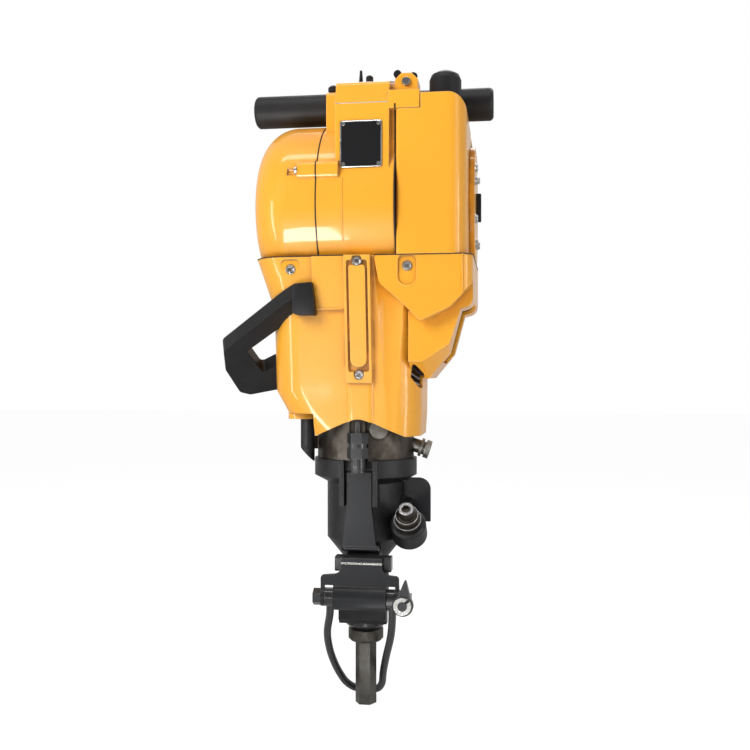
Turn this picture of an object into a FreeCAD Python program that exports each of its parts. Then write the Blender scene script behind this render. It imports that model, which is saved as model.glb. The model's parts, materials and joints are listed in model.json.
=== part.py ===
import FreeCAD, Part
import math
import os

# Hand-held petrol rock drill, sizes in millimetres.
# +Z runs up the drill axis towards the handlebar and -Y is the front.
# The origin is the centre of the chuck mouth.

Vec = FreeCAD.Vector
right = Vec(1, 0, 0)
back = Vec(0, 1, 0)
up = Vec(0, 0, 1)

# Clearances
overrun = 1.0
running_gap = 0.05
socket_play = 0.3
part_gap = 0.3
seam_gap = 0.5

# Drill steel and chuck
steel_flats = 22.0
steel_stub = 75.0
shank_length = 108.0
collar_radius = 21.0
collar_height = 17.0
collar_bevel = 3.0
flush_radius = 3.3
nose_radius = 24.5
nose_height = 16.0
nose_bevel = 4.0
chuck_radius = 20.5
chuck_length = 118.0
ratchet_radius = 32.0
ratchet_depth = 3.5
ratchet_height = 18.0
ratchet_teeth = 16
pawl_ring_wall = 6.0

# Front head casting
head_bottom_radius = 26.0
head_neck_radius = 27.5
head_lip_reach = 31.0
head_lip_half = 28.0
head_lip_bottom = 8.0
head_lip_top = 32.0
head_lip_bevel = 6.0
head_neck_top = 85.0
barrel_radius = 46.0
barrel_bottom = 108.0
head_top = 202.0
flange_depth = 20.0
flange_bottom = head_top - flange_depth
flange_taper = 8.0
barrel_top = flange_bottom - flange_taper
flange_radius = 61.0
rib_width = 5.5
rib_reach = 60.0
rib_drop = 52.0
rib_bottom = head_top - rib_drop
spring_channel = 33.0

# Leaf spring and its stud
leaf_thickness = 4.0
leaf_top_width = 30.0
leaf_foot_width = 41.0
leaf_drop = 13.0
leaf_top = head_top - leaf_drop
leaf_straight = 41.0
leaf_shoulder = leaf_top - leaf_straight
leaf_bottom = 98.0
leaf_foot_reach = 9.0
leaf_front = -54.0
stud_radius = 3.6
stud_rise = 46.0
stud_top = head_top + stud_rise
stud_front = -63.0
stud_nut_flats = 21.0
stud_nut_height = 12.0
stud_foot_radius = 8.6
stud_foot_height = 16.0
stud_plate_height = 5.0

# Hinge bolt, retainer bracket and bail
hinge_height = 83.0
hinge_front = -44.0
hinge_radius = 6.0
hinge_lug_width = 38.0
hinge_centre = 4.0
bracket_wall = 4.0
bracket_cheek_reach = 9.0
square_nut_side = 17.0
square_nut_width = 9.0
retainer_height = 46.0
retainer_front = -57.0
retainer_radius = 6.0
roll_radius = 14.5
bracket_left = 43.0
bracket_right = 47.0
shoulder_top = 72.0
shoulder_bottom = 61.0
bail_rod = 4.5
bail_eye_radius = 10.5
bail_eye_width = 9.4
bail_left = 33.5
bail_right = 37.5
bail_drop_shares = [0.0, 0.16, 0.39, 0.61, 0.79, 0.93, 1.0]
bail_left_shares = [1.0, 1.05, 1.29, 1.25, 1.08, 0.84, 0.52]
bail_right_shares = [1.0, 1.0, 0.90, 0.68, 0.53, 0.46, 0.30]

# Latch lever
latch_side = 52.7
latch_height = 43.0
latch_eye_radius = 12.0
latch_thickness = 7.0
latch_reach = 31.0
latch_screw_radius = 5.0
latch_washer_radius = 10.0
latch_washer_height = 3.0
latch_washer_slot = 3.0

# Blow selector at the right of the head
selector_side = 55.5
selector_front = -35.0
selector_height = 122.0
selector_radius = 20.5
selector_length = 30.0
selector_tilt = 40.0
selector_arm_radius = 16.0
spindle_collar_radius = 15.5
spindle_collar_height = 7.0
spindle_step_radius = 13.0
spindle_step_height = 9.0
spindle_head_radius = 9.0
spindle_head_height = 12.0
spindle_socket_flats = 8.0
spindle_socket_depth = 3.0
cover_wall = 5.0
cover_width = 22.0
cover_bottom = 126.0
cover_drop = 4.0
cover_top = flange_bottom - cover_drop
cover_round = 14.0

# Cylinder, its base ring and fins
base_radius = 57.5
base_ring_height = 48.0
base_top = head_top + base_ring_height
bore_radius = 29.0
barrel_wall = 9.0
seam_rise = 182.0
seam_height = base_top + seam_rise
housing_gap = 8.0
cylinder_top = seam_height - housing_gap
fin_radius = 61.0
fin_thickness = 2.4
fin_count = 11
fin_start = 34.0
fin_bottom = base_top + fin_start
fin_end = 20.0
fin_pitch = (cylinder_top - fin_end - fin_bottom) / (fin_count - 1)
plug_radius = 8.0
plug_head_flats = 19.0
plug_reach = 15.0
plug_head_height = 6.0
plug_rise = 20.0
plug_height = head_top + plug_rise
plug_droop = 18.0
breather_reach = 62.0
breather_depth = 14.0
breather_width = 10.0
breather_low = 11.0
breather_high = 26.0
button_radius = 11.0
button_height = 4.0
button_side = 22.0
button_rise = 36.0
button_level = head_top + button_rise

# Hammer piston and engine piston
hammer_rod_radius = 19.0
hammer_head_height = 34.0
hammer_lift = 6.0
hammer_head_bottom = head_top + hammer_lift
crank_rise = 60.0
crank_height = seam_height + crank_rise
crank_throw = 35.0
rod_centres = 118.0
piston_crown = 26.0
piston_skirt = 20.0
piston_wall = 5.0
wrist_pin_radius = 7.0
ring_height = 2.2
ring_depth = 2.0
rod_eye_radius = 12.0
rod_big_radius = 20.0
rod_width = 14.0
rod_shank = 11.0
crank_pin_radius = 11.0

# Crankshaft, flywheel and starter
shaft_radius = 12.5
web_radius = 51.0
web_thickness = 12.0
web_gap = 18.0
bearing_radius = 26.0
bearing_width = 12.0
crank_chamber_radius = 58.0
pulley_radius = 50.0
pulley_width = 7.0
pulley_side = -37.3
pulley_groove = 4.0
drum_radius = 103.0
drum_wall = 4.0
flywheel_gap = 11.0
flywheel_radius = drum_radius - drum_wall - flywheel_gap
flywheel_inner = -62.0
flywheel_disc = 8.0
vane_height = 16.0
vane_length = 30.0
vane_thickness = 3.0
vane_count = 14
shaft_left = -96.0
shaft_right = 43.5

# Upper casings
centre_left = -41.0
centre_right = 45.5
cover_left = -119.0
cover_crown = 43.0
cover_corner = 46.0
block_left = -20.0
block_right = 40.0
block_inset = 6.0
block_front = block_inset - drum_radius
grip_radius = 19.0
bar_gap = 5.0
bar_height = crank_height + drum_radius + grip_radius + bar_gap
saddle_rise = 20.0
bar_block_top = bar_height + saddle_rise
block_drop = 15.0
block_top = bar_block_top - block_drop
block_chamfer = 7.0
block_face_drop = 25.0
block_foot_drop = 21.0
flank_step = 7.5
cheek_left = -38.5
cheek_front = -52.0
cheek_rise = 7.0
cheek_top = bar_height + cheek_rise
ridge_left = -62.0
ridge_half_height = 10.5
ridge_rise = 34.0
ridge_height = crank_height + ridge_rise
ridge_front = -drum_radius
ridge_reach = 4.0
ridge_screw_inset = 4.0
intake_hub = 34.0
intake_rim = 62.0
intake_slots = 12
intake_slot_width = 9.0

# Handlebar and grips
bar_radius = 12.5
bar_left = -132.0
bar_right = 150.0
left_grip_end = -134.0
left_grip_inner = -40.0
right_grip_inner = 56.0
right_grip_end = 152.0
grip_cap = 3.0

# Strap, throttle box and controls on the top
strap_right = 73.5
strap_drop = 27.0
strap_bottom = bar_height - strap_drop
strap_thickness = 20.0
strap_top = strap_bottom + strap_thickness
strap_back = -52.0
throttle_left = 45.0
throttle_right = 70.5
throttle_front = -84.0
throttle_back = -56.0
throttle_rise = 22.0
throttle_top = strap_top + throttle_rise
throttle_chamfer = 7.0
lever_thickness = 4.0
lever_half_width = 4.5
lever_reach = 27.0
lever_tilt = 36.0
lever_rise = 12.0
lever_height = strap_top + lever_rise
switch_side = 1.5
switch_depth = -48.0
switch_radius = 5.5
switch_reach = 12.0
button_knob_side = 10.0
button_knob_radius = 4.2
button_knob_travel = 3.0
control_socket_depth = 12.0
handle_knob_radius = 6.5
handle_knob_height = 9.0
handle_neck_radius = 4.0
rope_depth = -34.0
rope_side = -33.0

# Fuel tank, cap and air filter
tank_left = 47.5
tank_right = 124.5
tank_front = block_front
tank_back = 20.0
tank_rise = 16.0
tank_top = strap_bottom + tank_rise
tank_step_drop = 14.0
tank_step = tank_top - tank_step_drop
tank_step_depth = -31.0
tank_wall = 3.5
tank_corner = 22.0
tank_edge = 3.0
tank_crown = 20.0
cap_radius = 18.0
cap_gap = 10.5
cap_side = throttle_right + cap_gap + cap_radius
cap_depth = -56.0
cap_height = 34.0
neck_radius = 13.5
neck_height = 8.0
neck_wall = 2.5
filter_back = 96.0
filter_drop = 20.0
filter_top = tank_top - filter_drop
filter_round = 16.0
filter_wall = 3.5
side_plate_thickness = 6.0
side_plate_radius = 68.0
side_plate_depth = 28.0
side_plate_rise = 10.0
side_plate_height = crank_height + side_plate_rise
side_bar_width = 7.0
side_bar_height = 34.0
side_bar_reach = 6.0
side_screw_shares = [(-0.68, 0.75), (-0.81, 0.45), (-0.68, -0.35), (-0.45, -0.85), (0.68, 0.75), (0.68, -0.75)]
carb_width = 32.0
carb_depth = 40.0
carb_height = 44.0

# Name plate
plate_left = -14.5
plate_right = 32.5
plate_rise = 36.0
plate_bottom = crank_height + plate_rise
plate_height = 52.0
plate_top = plate_bottom + plate_height
plate_thickness = 1.0
plate_corner = 3.0
rivet_radius = 2.0
rivet_height = 0.9
rivet_inset = 4.0

# Lower shroud
shroud_wall = 3.5
shroud_top_left = 118.0
shroud_top_right = 78.0
shroud_inset = 11.0
shroud_top_depth = drum_radius - shroud_inset
shroud_waist_left = 100.0
shroud_waist_right = 71.0
shroud_waist_depth = 84.0
shroud_waist_drop = 57.0
shroud_waist_height = seam_height - shroud_waist_drop
shroud_hip_depth = 73.0
shroud_hip_rise = 32.0
shroud_hip_height = base_top + shroud_hip_rise
shroud_hem_left = 87.0
shroud_hem_rise = 8.0
shroud_hem_height = base_top + shroud_hem_rise
shroud_hem_depth = 71.0
shroud_foot_left = 63.0
shroud_foot_right = 69.5
shroud_foot_depth = 69.0
shroud_foot_drop = 20.0
shroud_foot_height = base_top - shroud_foot_drop
shroud_corner = 40.0
arch_half_width = 18.0
spine_top_depth = 77.0
spine_foot_depth = 71.5
trough_side = 46.0
trough_radius = 30.0
trough_top_depth = 80.0
trough_foot_depth = 67.0
gate_side = -50.0
gate_back = 20.0
gate_rise = 6.0
gate_height = base_top + gate_rise
spine_margin = 3.0
spine_corner = 9.0
arch_rise = 21.0
arch_top = shroud_foot_height + arch_rise
arch_side = 2.0
panel_left = -47.0
panel_lean = 8.0
panel_inset = 7.0
panel_front = panel_inset - drum_radius
panel_drop = 59.0
panel_bottom = seam_height - panel_drop
channel_left = -10.5
channel_right = 19.0
channel_inset = 3.0
channel_front = channel_inset - drum_radius
channel_lean = 19.0
channel_seat = 11.0
channel_rise = 41.0
channel_bottom = base_top + channel_rise
channel_lip = 3.0
panel_right = channel_left + channel_lip
channel_depth = 5.0
pad_rise = 18.0
pad_bottom = channel_bottom + pad_rise
pad_drop = 11.0
pad_top = seam_height - pad_drop
pad_inset = 5.5
pouch_inset = 8.0
pouch_front = pouch_inset - drum_radius
pouch_back = 80.0
pouch_right = 131.0
pouch_side_drop = 31.0
pouch_flank_drop = 55.0
pouch_flank_height = seam_height - pouch_flank_drop
pouch_neck_side = 29.5
pouch_neck_drop = 30.0
pouch_neck_height = seam_height - pouch_neck_drop
pouch_sag_side = 106.0
pouch_sag_drop = 57.0
pouch_sag_height = seam_height - pouch_sag_drop
pouch_corner = 16.0
pouch_side_height = seam_height - pouch_side_drop
pouch_tip_side = 74.0
pouch_tip_drop = 72.0
pouch_tip_height = seam_height - pouch_tip_drop
pouch_inner_side = 24.0
pouch_knee_side = 58.5
pouch_knee_drop = 56.0
pouch_knee_height = seam_height - pouch_knee_drop
duct_front = -78.0
duct_back = 55.0
duct_right = 118.0
duct_left = 60.0
duct_low_side = 75.0
duct_low_drop = 116.0
duct_low_height = seam_height - duct_low_drop
duct_toe_side = 104.0
duct_toe_drop = 97.0
duct_toe_height = seam_height - duct_toe_drop
duct_bevel_depth = 30.0
duct_bevel_drop = 20.0
slot_front = -34.0
slot_back = 36.0
slot_low_drop = 98.0
slot_bottom = seam_height - slot_low_drop
slot_drop = 50.0
slot_top = seam_height - slot_drop
collar_side = -69.5
collar_depth = -34.0
collar_outer = 17.0
collar_inner = 14.0
collar_drop = 1.0
collar_bottom = base_top - collar_drop
louvre_side = 72.0
louvre_front = -92.0
louvre_depth = 64.0
louvre_rise = 30.0
louvre_bottom = base_top + louvre_rise
louvre_height = 36.0
louvre_top = louvre_bottom + louvre_height
louvre_width = 12.0
louvre_lean = 3.0
louvre_slats = 5
louvre_slat = 3.0
louvre_wall = 3.0
louvre_margin = 6.0
recess_radius = 11.0
recess_depth = 5.0
left_recess_side = -72.0
left_recess_drop = 14.0
left_recess_height = seam_height - left_recess_drop
right_recess_side = 59.5
right_recess_drop = 12.0
right_recess_height = seam_height - right_recess_drop

# Blow tube
tube_radius = 8.2
tube_bore = 5.6
tube_rise = 50.0
tube_top = base_top + tube_rise
tube_depth = -34.0
tube_drop = 31.0
tube_bottom = shroud_foot_height - tube_drop
tube_cut_rise = 18.0

# Carry handle
handle_front_side = 62.0
handle_front_depth = 84.0
handle_front_drop = 46.0
handle_knuckle_side = 146.0
handle_knuckle_depth = 56.0
handle_knuckle_drop = 94.0
handle_rear_side = 114.0
handle_rear_drop = 126.0
handle_thickness = 19.0
handle_length = 166.0
handle_depth = 62.0
handle_outline_shares = [(-0.06, 0.24), (-0.08, -0.14), (0.0, -0.30), (0.54, -1.12), (0.74, -0.97),
                         (0.98, -0.55), (1.0, -0.33), (0.87, 0.45), (0.64, 0.45), (0.65, -0.02),
                         (0.74, -0.24), (0.52, -0.68), (0.12, -0.02), (0.11, 0.24)]
handle_round_shares = [0, 0.1, 0.3, 0.55, 0.6, 0.5, 0.4, 0, 0, 0.1, 0.25, 0.3, 0.3, 0]

# Muffler
muffler_left = 78.0
muffler_right = 98.0
muffler_front = -44.0
muffler_back = 30.0
muffler_low_drop = 90.0
muffler_bottom = seam_height - muffler_low_drop
muffler_drop = 32.0
muffler_top = seam_height - muffler_drop
muffler_corner = 9.0
port_radius = 13.0
port_drop = 70.0
port_height = seam_height - port_drop

# Spark plug and ignition coil
spark_rise = 42.0
spark_height = base_top + spark_rise
spark_radius = 7.0
spark_body_radius = 10.0
spark_reach = 34.0
spark_cap_radius = 9.0
spark_cap_height = 20.0
coil_width = 22.0
coil_height = 34.0

# Screws
screw_head_radius = 4.6
screw_head_height = 3.4
screw_shank_radius = 2.5
screw_shank_length = 5.2
screw_socket_flats = 4.0
screw_socket_depth = 1.8


def placed(shape, origin, direction=up):
    shape.Placement = FreeCAD.Placement(origin, FreeCAD.Rotation(up, direction))
    return shape


def turned(profile, origin=Vec(), direction=up):
    # profile is a list of (radius, height) pairs turned about the direction
    points = [Vec(radius, 0, height) for radius, height in profile]
    face = Part.Face(Part.makePolygon(points + points[:1]))
    return placed(face.revolve(Vec(), up, 360), origin, direction)


def rod(radius, length, origin, direction=up):
    return Part.makeCylinder(radius, length, origin, direction)


def hexagon(flats, height, origin=Vec(), direction=up):
    corner = flats / 2 / math.cos(math.pi / 6)
    turns = [math.pi / 3 * step for step in range(7)]
    points = [Vec(corner * math.cos(turn), corner * math.sin(turn), 0) for turn in turns]
    prism = Part.Face(Part.makePolygon(points)).extrude(Vec(0, 0, height))
    return placed(prism, origin, direction)


def rounded_wire(points, radii):
    # closed outline whose corners are tangent arcs, a radius of zero keeps the corner
    starts, middles, ends = [], [], []
    count = len(points)
    for index, corner in enumerate(points):
        radius = radii[index]
        before = (points[index - 1] - corner).normalize()
        after = (points[(index + 1) % count] - corner).normalize()
        if radius == 0:
            starts.append(corner)
            middles.append(None)
            ends.append(corner)
            continue
        half = before.getAngle(after) / 2
        reach = radius / math.tan(half)
        inward = (before + after).normalize()
        starts.append(corner + before * reach)
        ends.append(corner + after * reach)
        middles.append(corner + inward * (radius / math.sin(half) - radius))
    edges = []
    for index in range(count):
        if middles[index] is not None:
            edges.append(Part.Arc(starts[index], middles[index], ends[index]).toShape())
        following = starts[(index + 1) % count]
        if (following - ends[index]).Length > 1e-6:
            edges.append(Part.makeLine(ends[index], following))
    return Part.Wire(edges)


def slab(points, radii, thickness):
    return Part.Face(rounded_wire(points, radii)).extrude(thickness)


def slab_x(outline, radii, left, right_side):
    # outline is (y, z) pairs, extruded along X
    points = [Vec(left, y, z) for y, z in outline]
    return slab(points, radii, Vec(right_side - left, 0, 0))


def slab_y(outline, radii, front, rear):
    # outline is (x, z) pairs, extruded along Y
    points = [Vec(x, front, z) for x, z in outline]
    return slab(points, radii, Vec(0, rear - front, 0))


def slab_z(outline, radii, low, high):
    # outline is (x, y) pairs, extruded along Z
    points = [Vec(x, y, low) for x, y in outline]
    return slab(points, radii, Vec(0, 0, high - low))


def block(left, right_side, front, rear, low, high):
    return Part.makeBox(right_side - left, rear - front, high - low, Vec(left, front, low))


def fused(shapes):
    whole = shapes[0]
    for shape in shapes[1:]:
        whole = whole.fuse(shape)
    return whole.removeSplitter()


def save(node, shape):
    shape.exportStep("parts/" + node + ".step")


# Drill steel: a short hexagonal stub with its forged collar and the shank in the chuck

def drill_steel():
    hexagonal = hexagon(steel_flats, collar_height + steel_stub + shank_length,
                        Vec(0, 0, -collar_height - steel_stub))
    collar = turned([(0, 0), (collar_radius - collar_bevel, 0), (collar_radius, -collar_bevel),
                     (collar_radius, collar_bevel - collar_height),
                     (collar_radius - collar_bevel, -collar_height), (0, -collar_height)])
    flush = rod(flush_radius, steel_stub + collar_height + shank_length + 2 * overrun,
                Vec(0, 0, -collar_height - steel_stub - overrun))
    return fused([hexagonal, collar]).cut(flush)


def chuck_sleeve():
    body = turned([(0, 0), (nose_radius - nose_bevel, 0), (nose_radius, nose_bevel),
                   (nose_radius, nose_height), (chuck_radius, nose_height),
                   (chuck_radius, chuck_length), (0, chuck_length)])
    socket = hexagon(steel_flats + 2 * socket_play, shank_length + part_gap + overrun,
                     Vec(0, 0, -overrun))
    throat = rod(hammer_rod_radius + part_gap, chuck_length, Vec(0, 0, shank_length))
    return body.cut(socket).cut(throat)


def ratchet_ring():
    # saw-toothed ring that turns the chuck one way
    low = chuck_length
    step = 2 * math.pi / ratchet_teeth
    points = []
    for tooth in range(ratchet_teeth):
        angle = tooth * step
        tip = ratchet_radius
        root = ratchet_radius - ratchet_depth
        points.append(Vec(tip * math.cos(angle), tip * math.sin(angle), low))
        points.append(Vec(root * math.cos(angle), root * math.sin(angle), low))
    ring = Part.Face(Part.makePolygon(points + points[:1])).extrude(Vec(0, 0, ratchet_height))
    return ring.cut(rod(hammer_rod_radius + part_gap, chuck_length, Vec(0, 0, low - overrun)))


def pawl_ring():
    # ring with four spring pawls that hold the ratchet, fixed in the head
    inner = ratchet_radius + part_gap
    return turned([(inner, chuck_length + part_gap), (inner + pawl_ring_wall, chuck_length + part_gap),
                   (inner + pawl_ring_wall, chuck_length + ratchet_height),
                   (inner, chuck_length + ratchet_height)])


# Front head: cast nose, barrel, flange, spring ribs, hinge lug and selector arm

def selector_direction():
    tilt = math.radians(selector_tilt)
    return Vec(0, -math.cos(tilt), math.sin(tilt))


def front_head():
    chamber = ratchet_radius + part_gap + pawl_ring_wall
    bottom = nose_height + part_gap
    outer = turned([(0, bottom), (head_bottom_radius, bottom), (head_neck_radius, bottom + nose_bevel),
                    (head_neck_radius, head_neck_top), (barrel_radius, barrel_bottom),
                    (barrel_radius, barrel_top), (flange_radius, flange_bottom),
                    (flange_radius, head_top), (0, head_top)])
    half = spring_channel / 2
    ribs = [block(side - rib_width / 2, side + rib_width / 2, -rib_reach, -barrel_radius / 2,
                  rib_bottom, head_top)
            for side in (-half - rib_width / 2, half + rib_width / 2)]
    reach = hinge_radius * 1.5
    lug = slab_x([(hinge_front - reach, hinge_height - reach), (hinge_front - reach, hinge_height + reach),
                  (-head_neck_radius / 2, barrel_bottom), (-head_neck_radius / 2, hinge_height - 2 * reach)],
                 [reach * 0.9, reach * 0.9, 0, 0],
                 hinge_centre - hinge_lug_width / 2, hinge_centre + hinge_lug_width / 2)
    lip = slab_x([(-head_lip_reach, head_lip_bottom + head_lip_bevel), (-head_lip_reach, head_lip_top - head_lip_bevel),
                  (-head_neck_radius / 2, head_lip_top), (-head_neck_radius / 2, head_lip_bottom),
                  (head_lip_bevel - head_lip_reach, head_lip_bottom)],
                 [0, 0, 0, 0, 0], -head_lip_half, head_lip_half)
    lip = lip.cut(rod(nose_radius + part_gap, nose_height + part_gap, Vec()))
    arm = rod(selector_arm_radius, selector_side, Vec(0, 0, selector_height + selector_arm_radius), right)
    solid = fused([outer, lug, lip, arm] + ribs)
    groove = block(-half, half, -flange_radius - overrun, leaf_front + leaf_thickness + part_gap,
                   rib_bottom - overrun, head_top + overrun)
    bores = [rod(chuck_radius + running_gap, chuck_length, Vec(0, 0, 0)),
             rod(chamber, ratchet_height + part_gap, Vec(0, 0, chuck_length)),
             rod(hammer_rod_radius + running_gap, head_top, Vec(0, 0, chuck_length + ratchet_height)),
             rod(hinge_radius + running_gap, hinge_lug_width * 2,
                 Vec(hinge_centre - hinge_lug_width, hinge_front, hinge_height), right)]
    for bore in [groove] + bores:
        solid = solid.cut(bore)
    return solid.cut(selector_space())


def selector_space():
    # room for the selector body where it meets the casting
    direction = selector_direction()
    centre = Vec(selector_side, selector_front, selector_height)
    start = centre - direction * selector_length / 2
    return rod(selector_radius + running_gap, selector_length * 2, start, direction)


def leaf_spring():
    # tapered plate that presses on the retainer bracket, its foot is bent back
    half_top = leaf_top_width / 2
    half_foot = leaf_foot_width / 2
    rear = leaf_front + leaf_thickness
    bent = slab_x([(leaf_front, leaf_top), (rear, leaf_top), (rear, leaf_bottom + leaf_thickness),
                   (leaf_front + leaf_foot_reach, leaf_bottom + leaf_thickness),
                   (leaf_front + leaf_foot_reach, leaf_bottom), (leaf_front, leaf_bottom)],
                  [0, 0, leaf_thickness / 4, 0, 0, leaf_thickness * 1.2], -half_foot, half_foot)
    outline = slab_y([(-half_top, leaf_top), (-half_top, leaf_shoulder), (-half_foot, leaf_bottom),
                      (half_foot, leaf_bottom), (half_top, leaf_shoulder), (half_top, leaf_top)],
                     [0, 0, 0, 0, 0, 0], leaf_front, leaf_front + leaf_foot_reach)
    return bent.common(outline)


def head_studs():
    # the clamping stud in front with its two nuts, threaded foot and washer plate
    foot_low = leaf_top + part_gap
    pieces = [rod(stud_foot_radius, stud_foot_height, Vec(0, stud_front, foot_low))]
    level = foot_low + stud_foot_height
    pieces.append(hexagon(stud_nut_flats, stud_nut_height, Vec(0, stud_front, level)))
    level += stud_nut_height
    pieces.append(rod(stud_nut_flats / 2, stud_plate_height, Vec(0, stud_front, level)))
    level += stud_plate_height
    pieces.append(hexagon(stud_nut_flats, stud_nut_height, Vec(0, stud_front, level)))
    level += stud_nut_height
    pieces.append(rod(stud_radius, stud_top - level, Vec(0, stud_front, level)))
    return fused(pieces)


# Retainer: hinge bolt, bracket, pivot bolt, bail and latch lever

def square_nut(side, width, origin):
    half = side / 2
    nut = slab_x([(-half, -half), (-half, half), (half, half), (half, -half)],
                 [side / 8, side / 8, side / 8, side / 8], 0, width)
    nut.translate(origin)
    return nut


def hinge_bolt():
    reach = hinge_lug_width / 2 + bracket_wall + 2 * part_gap
    left = hinge_centre - reach
    shank = rod(hinge_radius, 2 * reach, Vec(left, hinge_front, hinge_height), right)
    left_nut = square_nut(square_nut_side, square_nut_width,
                          Vec(left - square_nut_width, hinge_front, hinge_height))
    right_nut = square_nut(square_nut_side, square_nut_width,
                           Vec(hinge_centre + reach, hinge_front, hinge_height))
    return fused([shank, left_nut, right_nut])


def retainer_bracket():
    # folded plate: cheeks on the hinge bolt, wide shoulders and a rolled lower edge
    lug_half = hinge_lug_width / 2 + part_gap
    cheek_front = hinge_front - hinge_radius - bracket_wall - bracket_cheek_reach
    left = hinge_centre - lug_half - bracket_wall
    right_side = hinge_centre + lug_half + bracket_wall
    top = hinge_height + bracket_cheek_reach
    waist = hinge_height - bracket_cheek_reach
    front = slab_y([(left, top), (right_side, top), (right_side, waist), (bracket_right, shoulder_top),
                    (bracket_right, shoulder_bottom), (bracket_right - bracket_wall, retainer_height),
                    (bracket_wall - bracket_left, retainer_height), (-bracket_left, shoulder_bottom),
                    (-bracket_left, shoulder_top), (left, waist)],
                   [0, 0, bracket_cheek_reach, bracket_wall, bracket_wall, 0, 0, bracket_wall, bracket_wall,
                    bracket_cheek_reach],
                   cheek_front, cheek_front + bracket_wall)
    cheeks = []
    for side in (left, right_side - bracket_wall):
        cheeks.append(slab_x([(cheek_front, waist), (cheek_front, top),
                              (hinge_front + bracket_cheek_reach, top),
                              (hinge_front + bracket_cheek_reach, waist)],
                             [0, 0, bracket_cheek_reach / 1.2, bracket_cheek_reach / 1.2],
                             side, side + bracket_wall))
    ears = []
    for side in (-bracket_left, bracket_right - bracket_wall):
        ears.append(rod(roll_radius - bracket_wall, bracket_wall,
                        Vec(side, retainer_front, retainer_height), right))
        ears.append(block(side, side + bracket_wall, cheek_front, retainer_front,
                          retainer_height - retainer_radius, shoulder_bottom))
    roll = rod(roll_radius, bail_left + bail_right - bail_eye_width - 2 * part_gap,
               Vec(bail_eye_width / 2 + part_gap - bail_left, retainer_front, retainer_height), right)
    solid = fused([front] + cheeks + ears + [roll])
    hinge = rod(hinge_radius + running_gap, hinge_lug_width * 2,
                Vec(hinge_centre - hinge_lug_width, hinge_front, hinge_height), right)
    pivot = rod(retainer_radius + running_gap, bracket_left + bracket_right + 2 * overrun,
                Vec(-bracket_left - overrun, retainer_front, retainer_height), right)
    notches = []
    for side in (-bail_left, bail_right):
        half = bail_eye_width / 2 + part_gap
        notches.append(block(side - half, side + half, cheek_front - overrun, cheek_front + bracket_wall + overrun,
                             retainer_height - overrun, retainer_height + roll_radius))
    solid = solid.cut(hinge).cut(pivot)
    for notch in notches:
        solid = solid.cut(notch)
    return solid


def bail_pivot_bolt():
    # round bolt with a nut outside the left ear, its right end carries the latch
    left = -bracket_left
    shank = rod(retainer_radius, bracket_left + bracket_right, Vec(left, retainer_front, retainer_height), right)
    nut = hexagon(square_nut_side, square_nut_width, Vec(left - square_nut_width, retainer_front, retainer_height),
                  right)
    lug_low = latch_height - latch_screw_radius * 1.8
    lug_high = latch_height + latch_screw_radius * 1.8
    lug = block(bracket_right + part_gap / 3, latch_side + latch_screw_radius * 1.6,
                latch_front() + latch_thickness + part_gap, retainer_front + latch_screw_radius, lug_low, lug_high)
    neck = rod(retainer_radius, latch_side - bracket_right,
               Vec(bracket_right, retainer_front, retainer_height), right)
    stem = rod(latch_screw_radius, latch_screw_length(), Vec(latch_side, latch_front() - latch_washer_height,
                                                             latch_height), back)
    return fused([shank, nut, neck, lug]).cut(stem)


def latch_front():
    return retainer_front - roll_radius - latch_thickness


def latch_screw_length():
    return latch_thickness + latch_washer_height + roll_radius


def latch_screw():
    return rod(latch_screw_radius, latch_screw_length() + part_gap,
               Vec(latch_side, latch_front() - latch_washer_height - part_gap, latch_height), back)


def lock_washer():
    # split spring washer seen from the front
    front = latch_front() - latch_washer_height
    ring = rod(latch_washer_radius, latch_washer_height - part_gap, Vec(latch_side, front, latch_height), back)
    ring = ring.cut(rod(latch_screw_radius + running_gap, latch_washer_height * 2,
                        Vec(latch_side, front - overrun, latch_height), back))
    slit = block(-latch_washer_slot / 2, latch_washer_slot / 2, front - overrun,
                 front + latch_washer_height + overrun, 0, latch_washer_radius + overrun)
    slit.rotate(Vec(), back, 45)
    slit.translate(Vec(latch_side, 0, latch_height))
    return ring.cut(slit)


def latch_lever():
    # tear-drop lever, its eye sits under the split washer
    front = latch_front()
    eye = rod(latch_eye_radius, latch_thickness, Vec(latch_side, front, latch_height), back)
    root = latch_eye_radius * 0.8
    horn = slab_y([(latch_side - root * 0.6, latch_height + root),
                   (latch_side + root * 0.35, latch_height + latch_reach),
                   (latch_side + root, latch_height + root * 0.6)],
                  [0, bracket_wall / 3, 0], front, front + latch_thickness)
    eye_bore = rod(latch_screw_radius + running_gap, latch_thickness + 2 * overrun,
                   Vec(latch_side, front - overrun, latch_height), back)
    return fused([eye, horn]).cut(eye_bore)


def bail():
    # bent rod: two eyes on the pivot bolt, two arms and a yoke behind the drill steel
    arm_drop = retainer_height + steel_stub + bail_rod * 2
    yoke_depth = steel_flats / 2 + collar_bevel * 3 + bail_rod - retainer_front
    path = []
    for drop, side in zip(bail_drop_shares, bail_left_shares):
        path.append(Vec(-bail_left * side, retainer_front + yoke_depth * drop, retainer_height - arm_drop * drop))
    for drop, side in reversed(list(zip(bail_drop_shares, bail_right_shares))):
        path.append(Vec(bail_right * side, retainer_front + yoke_depth * drop, retainer_height - arm_drop * drop))
    solid = bent_rod(path, bail_rod)
    eyes = []
    for side in (-bail_left, bail_right):
        eyes.append(rod(bail_eye_radius, bail_eye_width,
                        Vec(side - bail_eye_width / 2, retainer_front, retainer_height), right))
    bore = rod(retainer_radius + running_gap, bail_left + bail_right + 2 * bail_eye_width,
               Vec(-bail_left - bail_eye_width, retainer_front, retainer_height), right)
    return fused([solid] + eyes).cut(bore)


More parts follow.
